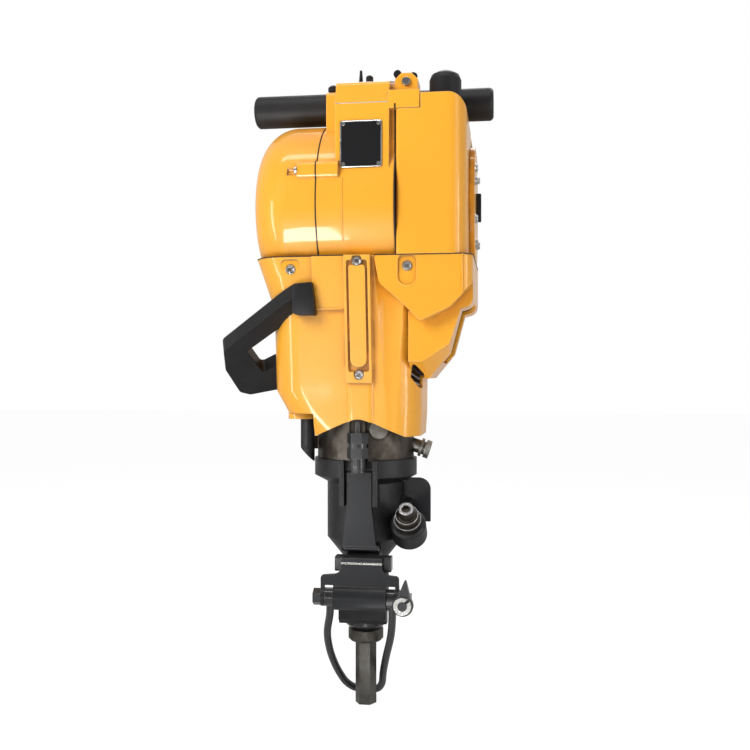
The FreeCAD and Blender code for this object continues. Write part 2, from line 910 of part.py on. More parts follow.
def bent_rod(path, radius):
    # round rod along straight runs with an arc at every inner point
    edges = []
    start = path[0]
    for index in range(1, len(path) - 1):
        corner = path[index]
        before = path[index - 1] - corner
        after = path[index + 1] - corner
        shorter = min(before.Length, after.Length)
        half = before.getAngle(after) / 2
        reach = shorter * 0.45
        bend = reach * math.tan(half)
        inward = (before.normalize() + after.normalize()).normalize()
        arc_start = corner + before * reach
        arc_end = corner + after * reach
        middle = corner + inward * (bend / math.sin(half) - bend)
        edges.append(Part.makeLine(start, arc_start))
        edges.append(Part.Arc(arc_start, middle, arc_end).toShape())
        start = arc_end
    edges.append(Part.makeLine(start, path[-1]))
    spine = Part.Wire(edges)
    ring = Part.Wire([Part.makeCircle(radius, path[0], path[1] - path[0])])
    return spine.makePipeShell([ring], True, False)


# Blow selector

def selector_body():
    direction = selector_direction()
    centre = Vec(selector_side, selector_front, selector_height)
    low = centre - direction * selector_length / 2
    return turned([(0, 0), (selector_radius - collar_bevel, 0), (selector_radius, collar_bevel),
                   (selector_radius, selector_length - collar_bevel),
                   (selector_radius - collar_bevel, selector_length), (0, selector_length)], low, direction)


def selector_spindle():
    direction = selector_direction()
    base = Vec(selector_side, selector_front, selector_height) + direction * (selector_length / 2)
    first = spindle_collar_height
    second = first + spindle_step_height
    third = second + spindle_head_height
    solid = turned([(0, 0), (spindle_collar_radius, 0), (spindle_collar_radius, first),
                    (spindle_step_radius, first), (spindle_step_radius, second - collar_bevel),
                    (spindle_head_radius, second), (spindle_head_radius, third), (0, third)], base, direction)
    socket = hexagon(spindle_socket_flats, spindle_socket_depth + overrun,
                     base + direction * (third - spindle_socket_depth), direction)
    return solid.cut(socket)


def selector_cover():
    # guard plate behind the spindle, it stands off the barrel and off the arm
    left = barrel_radius + part_gap
    right_side = selector_side + part_gap + cover_width
    plate = slab_y([(left, cover_bottom), (left, cover_top), (right_side, cover_top),
                    (right_side, cover_bottom)],
                   [0, 0, cover_round, 0], -cover_wall / 2, cover_wall / 2)
    arm = rod(selector_arm_radius + part_gap, selector_side + part_gap,
              Vec(0, 0, selector_height + selector_arm_radius), right)
    taper = turned([(0, barrel_top), (barrel_radius + part_gap, barrel_top),
                    (flange_radius + part_gap, flange_bottom), (0, flange_bottom)])
    return plate.cut(arm).cut(taper)


# Cylinder with its base ring and cooling fins

def cylinder():
    outer = bore_radius + barrel_wall
    body = turned([(0, head_top), (base_radius, head_top), (base_radius, base_top), (outer, base_top),
                   (outer, cylinder_top), (0, cylinder_top)])
    fins = []
    for index in range(fin_count):
        low = fin_bottom + index * fin_pitch
        fins.append(rod(fin_radius, fin_thickness, Vec(0, 0, low)))
    breather = block(-breather_reach, -outer, -breather_depth - breather_width, -breather_depth,
                     head_top + breather_low, head_top + breather_high)
    solid = fused([body, breather] + fins)
    bore = rod(bore_radius, cylinder_top, Vec(0, 0, head_top - overrun))
    nut_corner = stud_nut_flats / 2 / math.cos(math.pi / 6)
    stud_way = rod(nut_corner + part_gap, head_top, Vec(0, stud_front, leaf_top))
    port_way = rod(port_radius + running_gap, muffler_left, Vec(0, 0, port_height), right)
    spark_way = rod(spark_body_radius + part_gap, fin_radius * 2, Vec(0, 0, spark_height), right.negative())
    spark_cut = rod(spark_body_radius + part_gap, fin_radius, Vec(-outer, 0, spark_height), right.negative())
    spark_bore = rod(spark_radius + running_gap, fin_radius, Vec(0, 0, spark_height), right.negative())
    solid = solid.cut(bore).cut(stud_way).cut(port_way).cut(spark_cut).cut(spark_bore)
    return solid.cut(plug_stem()).cut(button_stem())


def plug_direction():
    droop = math.radians(plug_droop)
    return Vec(math.cos(droop), 0, -math.sin(droop))


def plug_stem():
    start = Vec(base_radius - plug_reach, 0, plug_height)
    return rod(plug_radius + running_gap, 3 * plug_reach, start - plug_direction() * running_gap, plug_direction())


def side_plug():
    # oil plug with its hexagonal head at the right of the base ring
    direction = plug_direction()
    start = Vec(base_radius - plug_reach, 0, plug_height)
    stem = rod(plug_radius, 2 * plug_reach, start, direction)
    head = hexagon(plug_head_flats, plug_head_height, start + direction * (2 * plug_reach), direction)
    ring = rod(plug_radius + collar_bevel, collar_bevel, start + direction * (2 * plug_reach - collar_bevel * 2),
               direction)
    return fused([stem, head, ring])


def button_axis():
    angle = math.asin(button_side / base_radius)
    return Vec(math.sin(angle), -math.cos(angle), 0)


def button_stem():
    direction = button_axis()
    return rod(button_radius, button_height * 3, direction * (base_radius - button_height) + up * button_level,
               direction)


def disc_plug():
    # smooth round blanking plug in the front of the base ring
    direction = button_axis()
    return rod(button_radius - running_gap, button_height * 2,
               direction * (base_radius - button_height) + up * button_level, direction)


def hammer_piston():
    # free piston: its rod strikes the shank, its head closes the combustion space
    foot = shank_length + part_gap
    head_radius = bore_radius - running_gap
    return turned([(0, foot), (hammer_rod_radius - collar_bevel, foot), (hammer_rod_radius, foot + collar_bevel),
                   (hammer_rod_radius, hammer_head_bottom), (head_radius, hammer_head_bottom),
                   (head_radius, hammer_head_bottom + hammer_head_height),
                   (0, hammer_head_bottom + hammer_head_height)])


# Engine piston, wrist pin and connecting rod, drawn at the bottom of the stroke

def wrist_height():
    return crank_height - crank_throw - rod_centres


def engine_piston():
    crown = wrist_height() - piston_crown
    top = wrist_height() + piston_skirt
    outer = bore_radius - running_gap
    cup = turned([(0, crown), (outer, crown), (outer, top), (0, top)])
    hollow = rod(outer - piston_wall, top - crown, Vec(0, 0, crown + 2 * piston_wall))
    boss = rod(wrist_pin_radius + piston_wall, 2 * outer - 2 * piston_wall,
               Vec(piston_wall - outer, 0, wrist_height()), right)
    gap = block(-rod_width / 2 - part_gap, rod_width / 2 + part_gap, -outer, outer, crown + 2 * piston_wall,
                top + overrun)
    solid = fused([cup.cut(hollow), boss.cut(gap)])
    pin = rod(wrist_pin_radius + running_gap, 2 * outer, Vec(-outer, 0, wrist_height()), right)
    solid = solid.cut(pin)
    for groove in ring_levels():
        wide = rod(outer + overrun, ring_height + 2 * running_gap, Vec(0, 0, groove - running_gap))
        core = rod(outer - ring_depth - running_gap, ring_height + 2 * running_gap, Vec(0, 0, groove - running_gap))
        solid = solid.cut(wide.cut(core))
    return solid


def ring_levels():
    crown = wrist_height() - piston_crown
    return [crown + piston_wall / 2, crown + piston_wall * 1.5]


def piston_rings():
    outer = bore_radius - running_gap
    rings = []
    for level in ring_levels():
        ring = rod(outer, ring_height, Vec(0, 0, level)).cut(
            rod(outer - ring_depth, ring_height * 3, Vec(0, 0, level - ring_height)))
        slit = block(-overrun / 2, overrun / 2, 0, outer + overrun, level - overrun, level + ring_height + overrun)
        rings.append(ring.cut(slit))
    return Part.makeCompound(rings)


def wrist_pin():
    reach = bore_radius - piston_wall / 2
    pin = rod(wrist_pin_radius, 2 * reach, Vec(-reach, 0, wrist_height()), right)
    return pin.cut(rod(wrist_pin_radius / 2, 3 * reach, Vec(-1.5 * reach, 0, wrist_height()), right))


def connecting_rod():
    low = wrist_height()
    high = low + rod_centres
    left = -rod_width / 2
    small = rod(rod_eye_radius, rod_width, Vec(left, 0, low), right)
    large = rod(rod_big_radius, rod_width, Vec(left, 0, high), right)
    shank = block(-rod_width / 3, rod_width / 3, -rod_shank / 2, rod_shank / 2, low, high)
    solid = fused([small, large, shank])
    small_bore = rod(wrist_pin_radius + running_gap, 2 * rod_width, Vec(-rod_width, 0, low), right)
    large_bore = rod(crank_pin_radius + running_gap, 2 * rod_width, Vec(-rod_width, 0, high), right)
    return solid.cut(small_bore).cut(large_bore)


def crank_pin():
    high = wrist_height() + rod_centres
    half = web_gap / 2 - part_gap
    return rod(crank_pin_radius, 2 * half, Vec(-half, 0, high), right)


# Crankshaft and what turns with it

def crankshaft():
    # two round webs, open between them where the connecting rod swings
    half = web_gap / 2
    webs = [rod(web_radius, web_thickness, Vec(side, 0, crank_height), right)
            for side in (-half - web_thickness, half)]
    journals = [rod(shaft_radius, -half - web_thickness - shaft_left, Vec(shaft_left, 0, crank_height), right),
                rod(shaft_radius, shaft_right - half - web_thickness, Vec(half + web_thickness, 0, crank_height),
                    right)]
    return Part.makeCompound([fused([webs[0], journals[0]]), fused([webs[1], journals[1]])])


def main_bearings():
    offset = web_gap / 2 + web_thickness + part_gap
    rings = []
    for left in (-offset - bearing_width, offset):
        ring = rod(bearing_radius, bearing_width, Vec(left, 0, crank_height), right)
        rings.append(ring.cut(rod(shaft_radius + running_gap, 3 * bearing_width,
                                  Vec(left - bearing_width, 0, crank_height), right)))
    return Part.makeCompound(rings)


def flywheel_fan():
    # disc with radial vanes that blow air down over the fins
    left = flywheel_inner - flywheel_disc
    disc = rod(flywheel_radius, flywheel_disc, Vec(left, 0, crank_height), right)
    vanes = []
    for index in range(vane_count):
        vane = block(left - vane_height, left + overrun, -vane_thickness / 2, vane_thickness / 2,
                     flywheel_radius - vane_length, flywheel_radius)
        vane.rotate(Vec(), right, 360.0 * index / vane_count)
        vane.translate(Vec(0, 0, crank_height))
        vanes.append(vane)
    hub = rod(shaft_radius * 2, vane_height, Vec(left - vane_height, 0, crank_height), right)
    bore = rod(shaft_radius + running_gap, flywheel_radius * 2, Vec(left - flywheel_radius, 0, crank_height), right)
    return fused([disc, hub] + vanes).cut(bore)


def starter_pulley():
    left = pulley_side - pulley_width / 2
    rim = pulley_radius
    inner = pulley_radius - pulley_groove
    return turned([(shaft_radius + part_gap, 0), (rim, 0), (inner, pulley_width / 3),
                   (inner, pulley_width * 2 / 3), (rim, pulley_width), (shaft_radius + part_gap, pulley_width)],
                  Vec(left, 0, crank_height), right)


# Upper casings

def drum_section(left, right_side, radius):
    drum = rod(radius, right_side - left, Vec(left, 0, crank_height), right)
    below = block(left - overrun, right_side + overrun, -2 * radius, 2 * radius, crank_height - 2 * radius,
                  seam_height)
    return drum.cut(below)


def ridge(left, right_side):
    # half-round screw tunnel that runs along the front of the drum
    half = ridge_half_height
    return slab_x([(ridge_front, ridge_height - half), (ridge_front, ridge_height + half),
                   (-drum_radius / 2, ridge_height + half), (-drum_radius / 2, ridge_height - half)],
                  [half / 1.5, half / 1.5, 0, 0], left, right_side)


def tall_block(step, left, right_side):
    # slice of the front block, its face stands back by the step
    front = block_front + step
    return slab_x([(front, crank_height - block_foot_drop), (front, block_top - block_face_drop),
                   (front + block_chamfer, block_top), (-grip_radius * 2, bar_block_top - step),
                   (grip_radius, bar_block_top - step), (grip_radius * 2, crank_height)],
                  [0, block_chamfer, block_chamfer, block_chamfer * 2, block_chamfer * 2, 0], left, right_side)


def centre_housing():
    # crankcase casting: drum, tall front block, bar saddle, left cheek and right strap
    drum = drum_section(centre_left, centre_right, drum_radius)
    tall = tall_block(0, block_left, block_right)
    flank = tall_block(flank_step, block_right - overrun, throttle_left)
    cheek = slab_x([(cheek_front, crank_height), (cheek_front, cheek_top), (grip_radius, cheek_top + block_chamfer),
                    (grip_radius * 1.5, crank_height)],
                   [0, block_chamfer, block_chamfer, 0], cheek_left, block_left + overrun)
    strap = block(block_right - overrun, strap_right, block_front, strap_back, strap_bottom, strap_top)
    tunnel = ridge(centre_left, block_left + ridge_reach)
    solid = fused([drum, tall, flank, cheek, strap, tunnel])
    chamber = rod(crank_chamber_radius, web_gap + 2 * web_thickness + 2 * part_gap,
                  Vec(-web_gap / 2 - web_thickness - part_gap, 0, crank_height), right)
    throat = rod(bore_radius, crank_height - seam_height + overrun, Vec(0, 0, seam_height - overrun))
    bearings = rod(bearing_radius + running_gap, 2 * (web_gap / 2 + web_thickness + bearing_width + part_gap),
                   Vec(-web_gap / 2 - web_thickness - bearing_width - part_gap, 0, crank_height), right)
    shaft_way = rod(shaft_radius + part_gap, centre_right - centre_left + 2 * overrun,
                    Vec(centre_left - overrun, 0, crank_height), right)
    pulley_space = rod(pulley_radius + 2 * overrun, pulley_width + 2 * overrun,
                       Vec(pulley_side - pulley_width / 2 - overrun, 0, crank_height), right)
    rope_way = rod(handle_neck_radius + part_gap, bar_block_top, Vec(rope_side, rope_depth, crank_height))
    bar_way = rod(bar_radius + running_gap, centre_right - centre_left + strap_right,
                  Vec(centre_left - overrun, 0, bar_height), right)
    for space in (chamber, throat, bearings, shaft_way, pulley_space, rope_way, bar_way):
        solid = solid.cut(space)
    for space in control_sockets():
        solid = solid.cut(space)
    return solid


def starter_cover():
    # bowl over the flywheel: rounded crown, radial intake slots and a hub boss
    right_side = centre_left - seam_gap
    outer = cover_bowl(cover_left, right_side, drum_radius, cover_corner, cover_crown)
    inner = cover_bowl(cover_left + drum_wall, right_side + overrun, drum_radius - drum_wall,
                       cover_corner - drum_wall, cover_crown - drum_wall)
    tunnel = ridge(ridge_left, right_side)
    solid = fused([outer.cut(inner), tunnel.cut(rod(drum_radius - drum_wall, -2 * cover_left,
                                                    Vec(cover_left, 0, crank_height), right))])
    slots = []
    for index in range(intake_slots):
        slot = block(cover_left - overrun, cover_left + drum_wall + overrun, -intake_slot_width / 2,
                     intake_slot_width / 2, intake_hub, intake_rim)
        slot.rotate(Vec(), right, 360.0 * (index + 0.5) / intake_slots)
        slot.translate(Vec(0, 0, crank_height))
        slots.append(slot)
    below = block(cover_left - overrun, right_side + overrun, -2 * drum_radius, 2 * drum_radius,
                  crank_height - 2 * drum_radius, seam_height)
    solid = solid.cut(below)
    for slot in slots:
        solid = solid.cut(slot)
    for space in seat_cuts(cover_screws()):
        solid = solid.cut(space)
    head_room = rod(screw_head_radius + part_gap, drum_wall * 3,
                    Vec(ridge_left, ridge_front + ridge_screw_inset, ridge_height), right.negative())
    return solid.cut(head_room)


def cover_bowl(left, right_side, radius, corner, crown):
    # drum closed at the left by an elliptical shoulder
    start = Vec(right_side, 0, 0)
    rim = Vec(right_side, 0, radius)
    shoulder = Vec(left + corner, 0, radius)
    lean = math.sqrt(0.5)
    middle = Vec(left + corner * (1 - lean), 0, radius - crown * (1 - lean))
    flat = Vec(left, 0, radius - crown)
    centre = Vec(left, 0, 0)
    edges = [Part.makeLine(start, rim), Part.makeLine(rim, shoulder), Part.Arc(shoulder, middle, flat).toShape(),
             Part.makeLine(flat, centre), Part.makeLine(centre, start)]
    solid = Part.Face(Part.Wire(edges)).revolve(Vec(), right, 360)
    solid.translate(Vec(0, 0, crank_height))
    return solid


# Handlebar, grips and controls

def handlebar():
    tube = rod(bar_radius, bar_right - bar_left, Vec(bar_left, 0, bar_height), right)
    return tube.cut(rod(bar_radius - drum_wall / 2, bar_right - bar_left + 2 * overrun,
                        Vec(bar_left - overrun, 0, bar_height), right))


def grip(inner, outer):
    # rubber sleeve with a closed outer end
    sign = 1 if outer > inner else -1
    length = abs(outer - inner)
    direction = right * sign
    sleeve = turned([(0, 0), (grip_radius, 0), (grip_radius, length - grip_cap),
                     (grip_radius - grip_cap, length), (0, length)], Vec(inner, 0, bar_height), direction)
    return sleeve.cut(rod(bar_radius + running_gap, length - grip_cap / 2 + overrun,
                          Vec(inner - sign * overrun, 0, bar_height), direction))


def throttle_box():
    # faceted casting on the strap that carries the throttle lever
    middle = (throttle_left + throttle_right) / 2
    solid = slab_y([(throttle_left, strap_top), (throttle_left, throttle_top - throttle_chamfer),
                    (throttle_left + throttle_chamfer, throttle_top), (throttle_right - throttle_chamfer, throttle_top),
                    (throttle_right, throttle_top - throttle_chamfer), (throttle_right, strap_top)],
                   [0, 0, 0, 0, 0, 0], throttle_front, throttle_back)
    return solid.cut(rod(screw_shank_radius + running_gap, throttle_back - throttle_front + 2 * overrun,
                         Vec(middle, throttle_front - overrun, lever_height), back))


def throttle_lever():
    # black two-ended lever behind the box, it turns on the box screw
    middle = (throttle_left + throttle_right) / 2
    front = throttle_back + part_gap
    half = lever_half_width
    arm = slab_y([(-half, -half), (-half, lever_reach), (half, lever_reach), (half, -half)],
                 [half * 0.9, half * 0.9, half * 0.9, half * 0.9], front, front + lever_thickness)
    arm.rotate(Vec(), back, -lever_tilt)
    short = slab_y([(-half, -half), (-half, lever_reach * 0.75), (half, lever_reach * 0.75), (half, -half)],
                   [half * 0.9, half * 0.9, half * 0.9, half * 0.9], front, front + lever_thickness)
    short.rotate(Vec(), back, lever_tilt / 2)
    lever = fused([arm, short])
    lever.translate(Vec(middle, 0, lever_height))
    return lever.cut(rod(screw_shank_radius + running_gap, lever_thickness * 3,
                         Vec(middle, front - lever_thickness, lever_height), back))


def control_sockets():
    deep = bar_block_top - control_socket_depth
    height = control_socket_depth * 2
    return [rod(switch_radius + part_gap, height, Vec(switch_side, switch_depth, deep)),
            rod(button_knob_radius + part_gap, height, Vec(switch_side + button_knob_side, switch_depth, deep))]


def stop_switch():
    # toggle: a ball in the socket and a thin tapered lever
    centre = Vec(switch_side, switch_depth, bar_block_top - control_socket_depth + switch_radius)
    ball = Part.makeSphere(switch_radius - part_gap, centre)
    lever = Part.makeCone(switch_radius / 2, switch_radius / 4, switch_radius + switch_reach, centre, up)
    return fused([ball, lever])


def primer_button():
    base = bar_block_top - control_socket_depth + button_knob_travel + part_gap
    return turned([(0, base), (button_knob_radius, base), (button_knob_radius, bar_block_top + button_knob_travel),
                   (button_knob_radius / 2, bar_block_top + button_knob_travel * 1.6),
                   (0, bar_block_top + button_knob_travel * 1.6)], Vec(switch_side + button_knob_side, switch_depth, 0))


def starter_handle():
    # rope pull that rests on the cheek
    low = cheek_top + part_gap
    return turned([(0, low - handle_knob_height), (handle_neck_radius, low - handle_knob_height),
                   (handle_neck_radius, low + handle_knob_height / 3), (handle_knob_radius, low + handle_knob_height / 2),
                   (handle_knob_radius, low + handle_knob_height), (handle_knob_radius / 2, low + handle_knob_height * 1.3),
                   (0, low + handle_knob_height * 1.3)], Vec(rope_side, rope_depth, 0))


# Fuel tank, cap, air filter and side cover

def tank_outline(inset):
    front = tank_front + inset
    rear = tank_back - inset
    left = tank_left + inset
    right_side = tank_right - inset
    return [(left, front), (left, rear), (right_side, rear), (right_side, front)]


def tank_body(inset):
    radii = [tank_edge, tank_edge, tank_edge, tank_corner - inset]
    low = seam_height + seam_gap + inset
    tall = slab_z(tank_outline(inset), radii, low, tank_top - inset)
    crown = slab_y([(tank_left, low), (tank_left, tank_top), (tank_right - inset, tank_top - inset),
                    (tank_right - inset, low)], [0, 0, tank_crown - inset, 0], tank_front, tank_back)
    tall = tall.common(crown)
    step = block(tank_left - overrun, tank_right + overrun, tank_step_depth - inset, tank_back + overrun,
                 tank_step - inset, tank_top + overrun)
    notch = block(tank_left - overrun, strap_right + 2 * seam_gap + inset, tank_front - overrun,
                  tank_back + overrun, strap_bottom - seam_gap - inset, tank_top + overrun)
    return tall.cut(step).cut(notch)


def fuel_tank():
    neck = rod(neck_radius + neck_wall, tank_wall + neck_height, Vec(cap_side, cap_depth, tank_top - tank_wall))
    solid = fused([tank_body(0), neck]).cut(tank_body(tank_wall))
    return solid.cut(rod(neck_radius, neck_height + 3 * tank_wall, Vec(cap_side, cap_depth, tank_top - 2 * tank_wall)))


def fuel_cap():
    # domed cap that screws over the neck
    low = tank_top + part_gap
    inner = neck_radius + neck_wall + running_gap
    top = low + cap_height
    dome = turned([(inner, low), (cap_radius, low), (cap_radius, top - cap_radius * 0.6),
                   (cap_radius * 0.86, top - cap_radius * 0.25), (cap_radius * 0.5, top - cap_radius * 0.05),
                   (0, top), (0, low + neck_height + part_gap), (inner, low + neck_height + part_gap)],
                  Vec(cap_side, cap_depth, 0))
    return dome


def filter_block(inset, left, right_side):
    front = tank_back + seam_gap + inset
    low = seam_height + seam_gap + inset
    small = filter_round / 2 - inset
    large = filter_round - inset
    return slab_x([(front, low), (front, filter_top - inset), (filter_back - inset, filter_top - inset),
                   (filter_back - inset, low)], [small, small, large, large], left, right_side)


def air_filter_housing():
    front = tank_back + seam_gap
    low = seam_height + seam_gap
    outer = filter_block(0, tank_left, tank_right)
    inner = filter_block(filter_wall, tank_left + filter_wall, tank_right + overrun)
    mouth = rod(port_radius + running_gap, filter_wall + 2 * overrun,
                Vec(tank_left - overrun, (front + filter_back) / 2, low + carb_height), right)
    return outer.cut(inner).cut(mouth)


def air_filter_element():
    # pleated foam block that fills the housing beside the carburettor
    low = seam_height + seam_gap + filter_wall
    space = filter_block(filter_wall + part_gap, tank_left + filter_wall, tank_right - part_gap)
    return space.cut(block(0, 2 * tank_right, 0, 2 * filter_back, 0, low + 2 * carb_height))


def carburettor():
    front = tank_back + seam_gap
    low = seam_height + seam_gap + filter_wall
    middle = (front + filter_back) / 2
    height = seam_height + seam_gap + carb_height
    body = block(tank_left + filter_wall, tank_left + filter_wall + carb_width, middle - carb_depth / 2,
                 middle + carb_depth / 2, low, low + 1.6 * carb_height)
    bowl = rod(carb_depth / 2.5, carb_width, Vec(tank_left + filter_wall, middle, height), right)
    pipe = rod(port_radius, tank_left + filter_wall - centre_right - part_gap,
               Vec(centre_right + part_gap, middle, height), right)
    return fused([body, bowl, pipe])


def side_cover():
    # cast plate that closes the filter side, its lower end is rounder than its top
    left = tank_right + seam_gap / 2
    low = side_plate_height - side_plate_radius
    high = side_plate_height + side_plate_radius
    wide = side_plate_radius * 0.95
    plate = slab_x([(side_plate_depth - wide * 0.7, low), (side_plate_depth - wide, side_plate_height),
                    (side_plate_depth - wide * 0.7, high), (side_plate_depth + wide * 0.7, high),
                    (side_plate_depth + wide, side_plate_height), (side_plate_depth + wide * 0.7, low)],
                   [wide * 0.7, wide * 1.4, wide * 0.55, wide * 0.55, wide * 1.4, wide * 0.7],
                   left, left + side_plate_thickness)
    for space in seat_cuts(side_screws()):
        plate = plate.cut(space)
    return plate


def side_cover_bar():
    left = tank_right + seam_gap / 2 + side_plate_thickness
    half = side_bar_width / 2
    return block(left, left + side_bar_reach, side_plate_depth - half, side_plate_depth + half,
                 side_plate_height - side_bar_height / 2, side_plate_height + side_bar_height / 2)


def name_plate():
    # bare plate on the face of the tall block
    outline = [(plate_left, plate_bottom), (plate_left, plate_top), (plate_right, plate_top),
               (plate_right, plate_bottom)]
    plate = slab_y(outline, [plate_corner] * 4, block_front - plate_thickness, block_front)
    for point in rivet_points():
        plate = plate.cut(rod(rivet_radius / 2, 3 * plate_thickness, point - back * plate_thickness * 2, back))
    return plate


def rivet_points():
    points = []
    for side in (plate_left + rivet_inset, plate_right - rivet_inset):
        for level in (plate_bottom + rivet_inset, plate_top - rivet_inset):
            points.append(Vec(side, block_front, level))
    return points


def plate_rivets():
    rivets = []
    for point in rivet_points():
        front = point - back * plate_thickness
        stem = rod(rivet_radius / 2 - running_gap, plate_thickness, front, back)
        head = rod(rivet_radius, rivet_height, front - back * rivet_height, back)
        rivets.append(fused([stem, head]))
    return Part.makeCompound(rivets)


# Lower shroud

def shroud_section(level, left, right_side, depth, corner):
    points = [Vec(-left, -depth, level), Vec(right_side, -depth, level), Vec(right_side, depth, level),
              Vec(-left, depth, level)]
    return rounded_wire(points, [corner] * 4)


def shroud_body(inset, spare):
    # lofted column with the front panel, the right pouch and the exhaust duct
    corner = shroud_corner - inset
    sections = [shroud_section(seam_height + spare, shroud_top_left - inset, shroud_top_right - inset,
                               shroud_top_depth - inset, corner),
                shroud_section(shroud_waist_height, shroud_waist_left - inset, shroud_waist_right - inset,
                               shroud_waist_depth - inset, corner),
                shroud_section(shroud_hip_height, shroud_waist_left - inset, shroud_waist_right - inset,
                               shroud_hip_depth - inset, corner),
                shroud_section(shroud_hem_height, shroud_hem_left - inset, shroud_waist_right - inset,
                               shroud_hem_depth - inset, corner),
                shroud_section(shroud_foot_height - spare, shroud_foot_left - inset, shroud_foot_right - inset,
                               shroud_foot_depth - inset, corner)]
    column = Part.makeLoft(sections, True, True).cut(trough(inset))
    panel = slab_x([(panel_front + inset, seam_height + spare), (0, seam_height + spare), (0, panel_bottom + inset),
                    (panel_front + panel_lean + inset, panel_bottom + inset)],
                   [0] * 4, panel_left + inset, panel_right - inset)
    return fused([column, spine_body(inset, spare), panel, pouch_body(inset, spare), duct_body(inset)])


def trough(inset):
    # long shallow hollow between the channel and the duct
    start = Vec(trough_side, -trough_top_depth - trough_radius, seam_height)
    run = Vec(0, trough_top_depth - trough_foot_depth, shroud_foot_height - seam_height)
    return rod(trough_radius + inset, run.Length * 2, start - run * 0.5, run)


def spine_body(inset, spare):
    # soft rib that runs on from the channel down to the hem
    wires = []
    for level, depth in ((channel_bottom - inset, spine_top_depth), (shroud_foot_height - spare, spine_foot_depth)):
        left = channel_left - spine_margin + inset
        right_side = channel_right + spine_margin - inset
        wires.append(rounded_wire([Vec(left, inset - depth, level), Vec(right_side, inset - depth, level),
                                   Vec(right_side, 0, level), Vec(left, 0, level)],
                                  [spine_corner - inset, spine_corner - inset, 0, 0]))
    return Part.makeLoft(wires, True, True)


def pouch_body(inset, spare):
    # bulge round the filter side, its lower edge sweeps from the channel to the right wall
    top = seam_height + spare
    front = slab_y([(pouch_inner_side + inset, top), (pouch_inner_side + inset, seam_height - channel_lip),
                    (pouch_neck_side + inset, pouch_neck_height + inset),
                    (pouch_knee_side + inset, pouch_knee_height + inset), (pouch_tip_side, pouch_tip_height + inset),
                    (pouch_sag_side, pouch_sag_height + inset), (pouch_right - inset, pouch_side_height + inset),
                    (pouch_right - inset, top)],
                   [0, recess_radius, recess_radius, recess_radius, recess_depth, recess_radius * 3, recess_radius, 0],
                   pouch_front + inset, duct_front + inset + overrun)
    rear = slab_y([(duct_left + inset, top), (duct_left + inset, pouch_tip_height + inset),
                   (pouch_tip_side, pouch_tip_height + inset), (pouch_right - inset, pouch_flank_height + inset),
                   (pouch_right - inset, top)],
                  [0, 0, recess_depth, recess_radius, 0], duct_front + inset, pouch_back - inset)
    footprint = slab_z([(pouch_inner_side, pouch_front + inset), (pouch_right - inset, pouch_front + inset),
                        (pouch_right - inset, pouch_back - inset), (pouch_inner_side, pouch_back - inset)],
                       [0, pouch_corner - inset, 0, 0], pouch_tip_height, top)
    return fused([front, rear]).common(footprint)


def duct_body(inset):
    upper = [(duct_left, pouch_flank_height), (duct_right - inset, pouch_flank_height + inset),
             (duct_toe_side - inset, duct_toe_height + inset), (duct_low_side - inset, duct_low_height + inset),
             (duct_left, duct_low_height + inset)]
    front_wire = rounded_wire([Vec(x, duct_front + inset, z) for x, z in upper], [0] * 5)
    lower = [(duct_left, pouch_flank_height), (duct_right - inset, pouch_flank_height + inset),
             (duct_toe_side - inset, duct_toe_height + inset - duct_bevel_drop / 2),
             (duct_low_side - inset + recess_depth, duct_low_height + inset - duct_bevel_drop),
             (duct_left, duct_low_height + inset - duct_bevel_drop)]
    deep = duct_front + duct_bevel_depth
    rear_wire = rounded_wire([Vec(x, deep, z) for x, z in lower], [0] * 5)
    bevel = Part.makeLoft([front_wire, rear_wire], True, True)
    straight = Part.Face(rear_wire).extrude(Vec(0, duct_back - inset - deep, 0))
    return fused([bevel, straight])


def shroud_shell():
    shell = shroud_body(0, 0).cut(shroud_body(shroud_wall, overrun))
    collar = turned([(collar_inner, collar_bottom), (collar_outer, collar_bottom), (collar_outer, shroud_hip_height),
                     (collar_inner, shroud_hip_height)], Vec(collar_side, collar_depth, 0))
    low = shroud_foot_height - overrun
    collar_room = rod(collar_inner, shroud_hip_height - low, Vec(collar_side, collar_depth, low))
    wide = shroud_top_left + pouch_right
    gate = block(-wide, gate_side, -wide, gate_back, low, gate_height)
    shell = fused([shell.cut(gate), collar, channel_frame()]).cut(collar_room)
    return shell.cut(arch()).cut(louvre_hole()).cut(side_slot())


def channel_slice(depth):
    # slice of the given depth behind the sloping face of the channel
    foot = channel_front + channel_lean
    return slab_x([(channel_front, seam_height), (channel_front + depth, seam_height),
                   (foot + depth, channel_bottom), (foot, channel_bottom)],
                  [0] * 4, channel_left, channel_right)


def channel_face(level):
    return channel_front + channel_lean * (seam_height - level) / (seam_height - channel_bottom)


def channel_frame():
    # raised frame with a sunk groove around the long middle pad
    middle = (channel_left + channel_right) / 2
    groove = slab_y([(channel_left + channel_lip, pad_bottom - pad_inset), (channel_left + channel_lip, pad_top + pad_inset),
                     (channel_right - channel_lip, pad_top + pad_inset), (channel_right - channel_lip, pad_bottom - pad_inset)],
                    [channel_lip] * 4, channel_front - overrun, 0)
    half = (channel_right - channel_left) / 2 - pad_inset
    pad = slab_y([(middle - half, pad_bottom), (middle - half, pad_top), (middle + half, pad_top),
                  (middle + half, pad_bottom)], [half * 0.9, channel_lip, channel_lip, half * 0.9],
                 channel_front, 0)
    sunk = channel_slice(channel_seat).cut(channel_slice(channel_depth).common(groove))
    return fused([sunk, pad.common(channel_slice(channel_depth + overrun))])


def arch():
    # the hem rises over the clamping stud
    low = shroud_foot_height - overrun
    return slab_y([(arch_side - arch_half_width * 3, low), (arch_side - arch_half_width, arch_top - arch_half_width / 3),
                   (arch_side, arch_top), (arch_side + arch_half_width, arch_top - arch_half_width / 3),
                   (arch_side + arch_half_width * 3, low)],
                  [0, arch_half_width / 2, arch_half_width, arch_half_width / 2, 0],
                  -shroud_waist_depth - arch_half_width, 0)


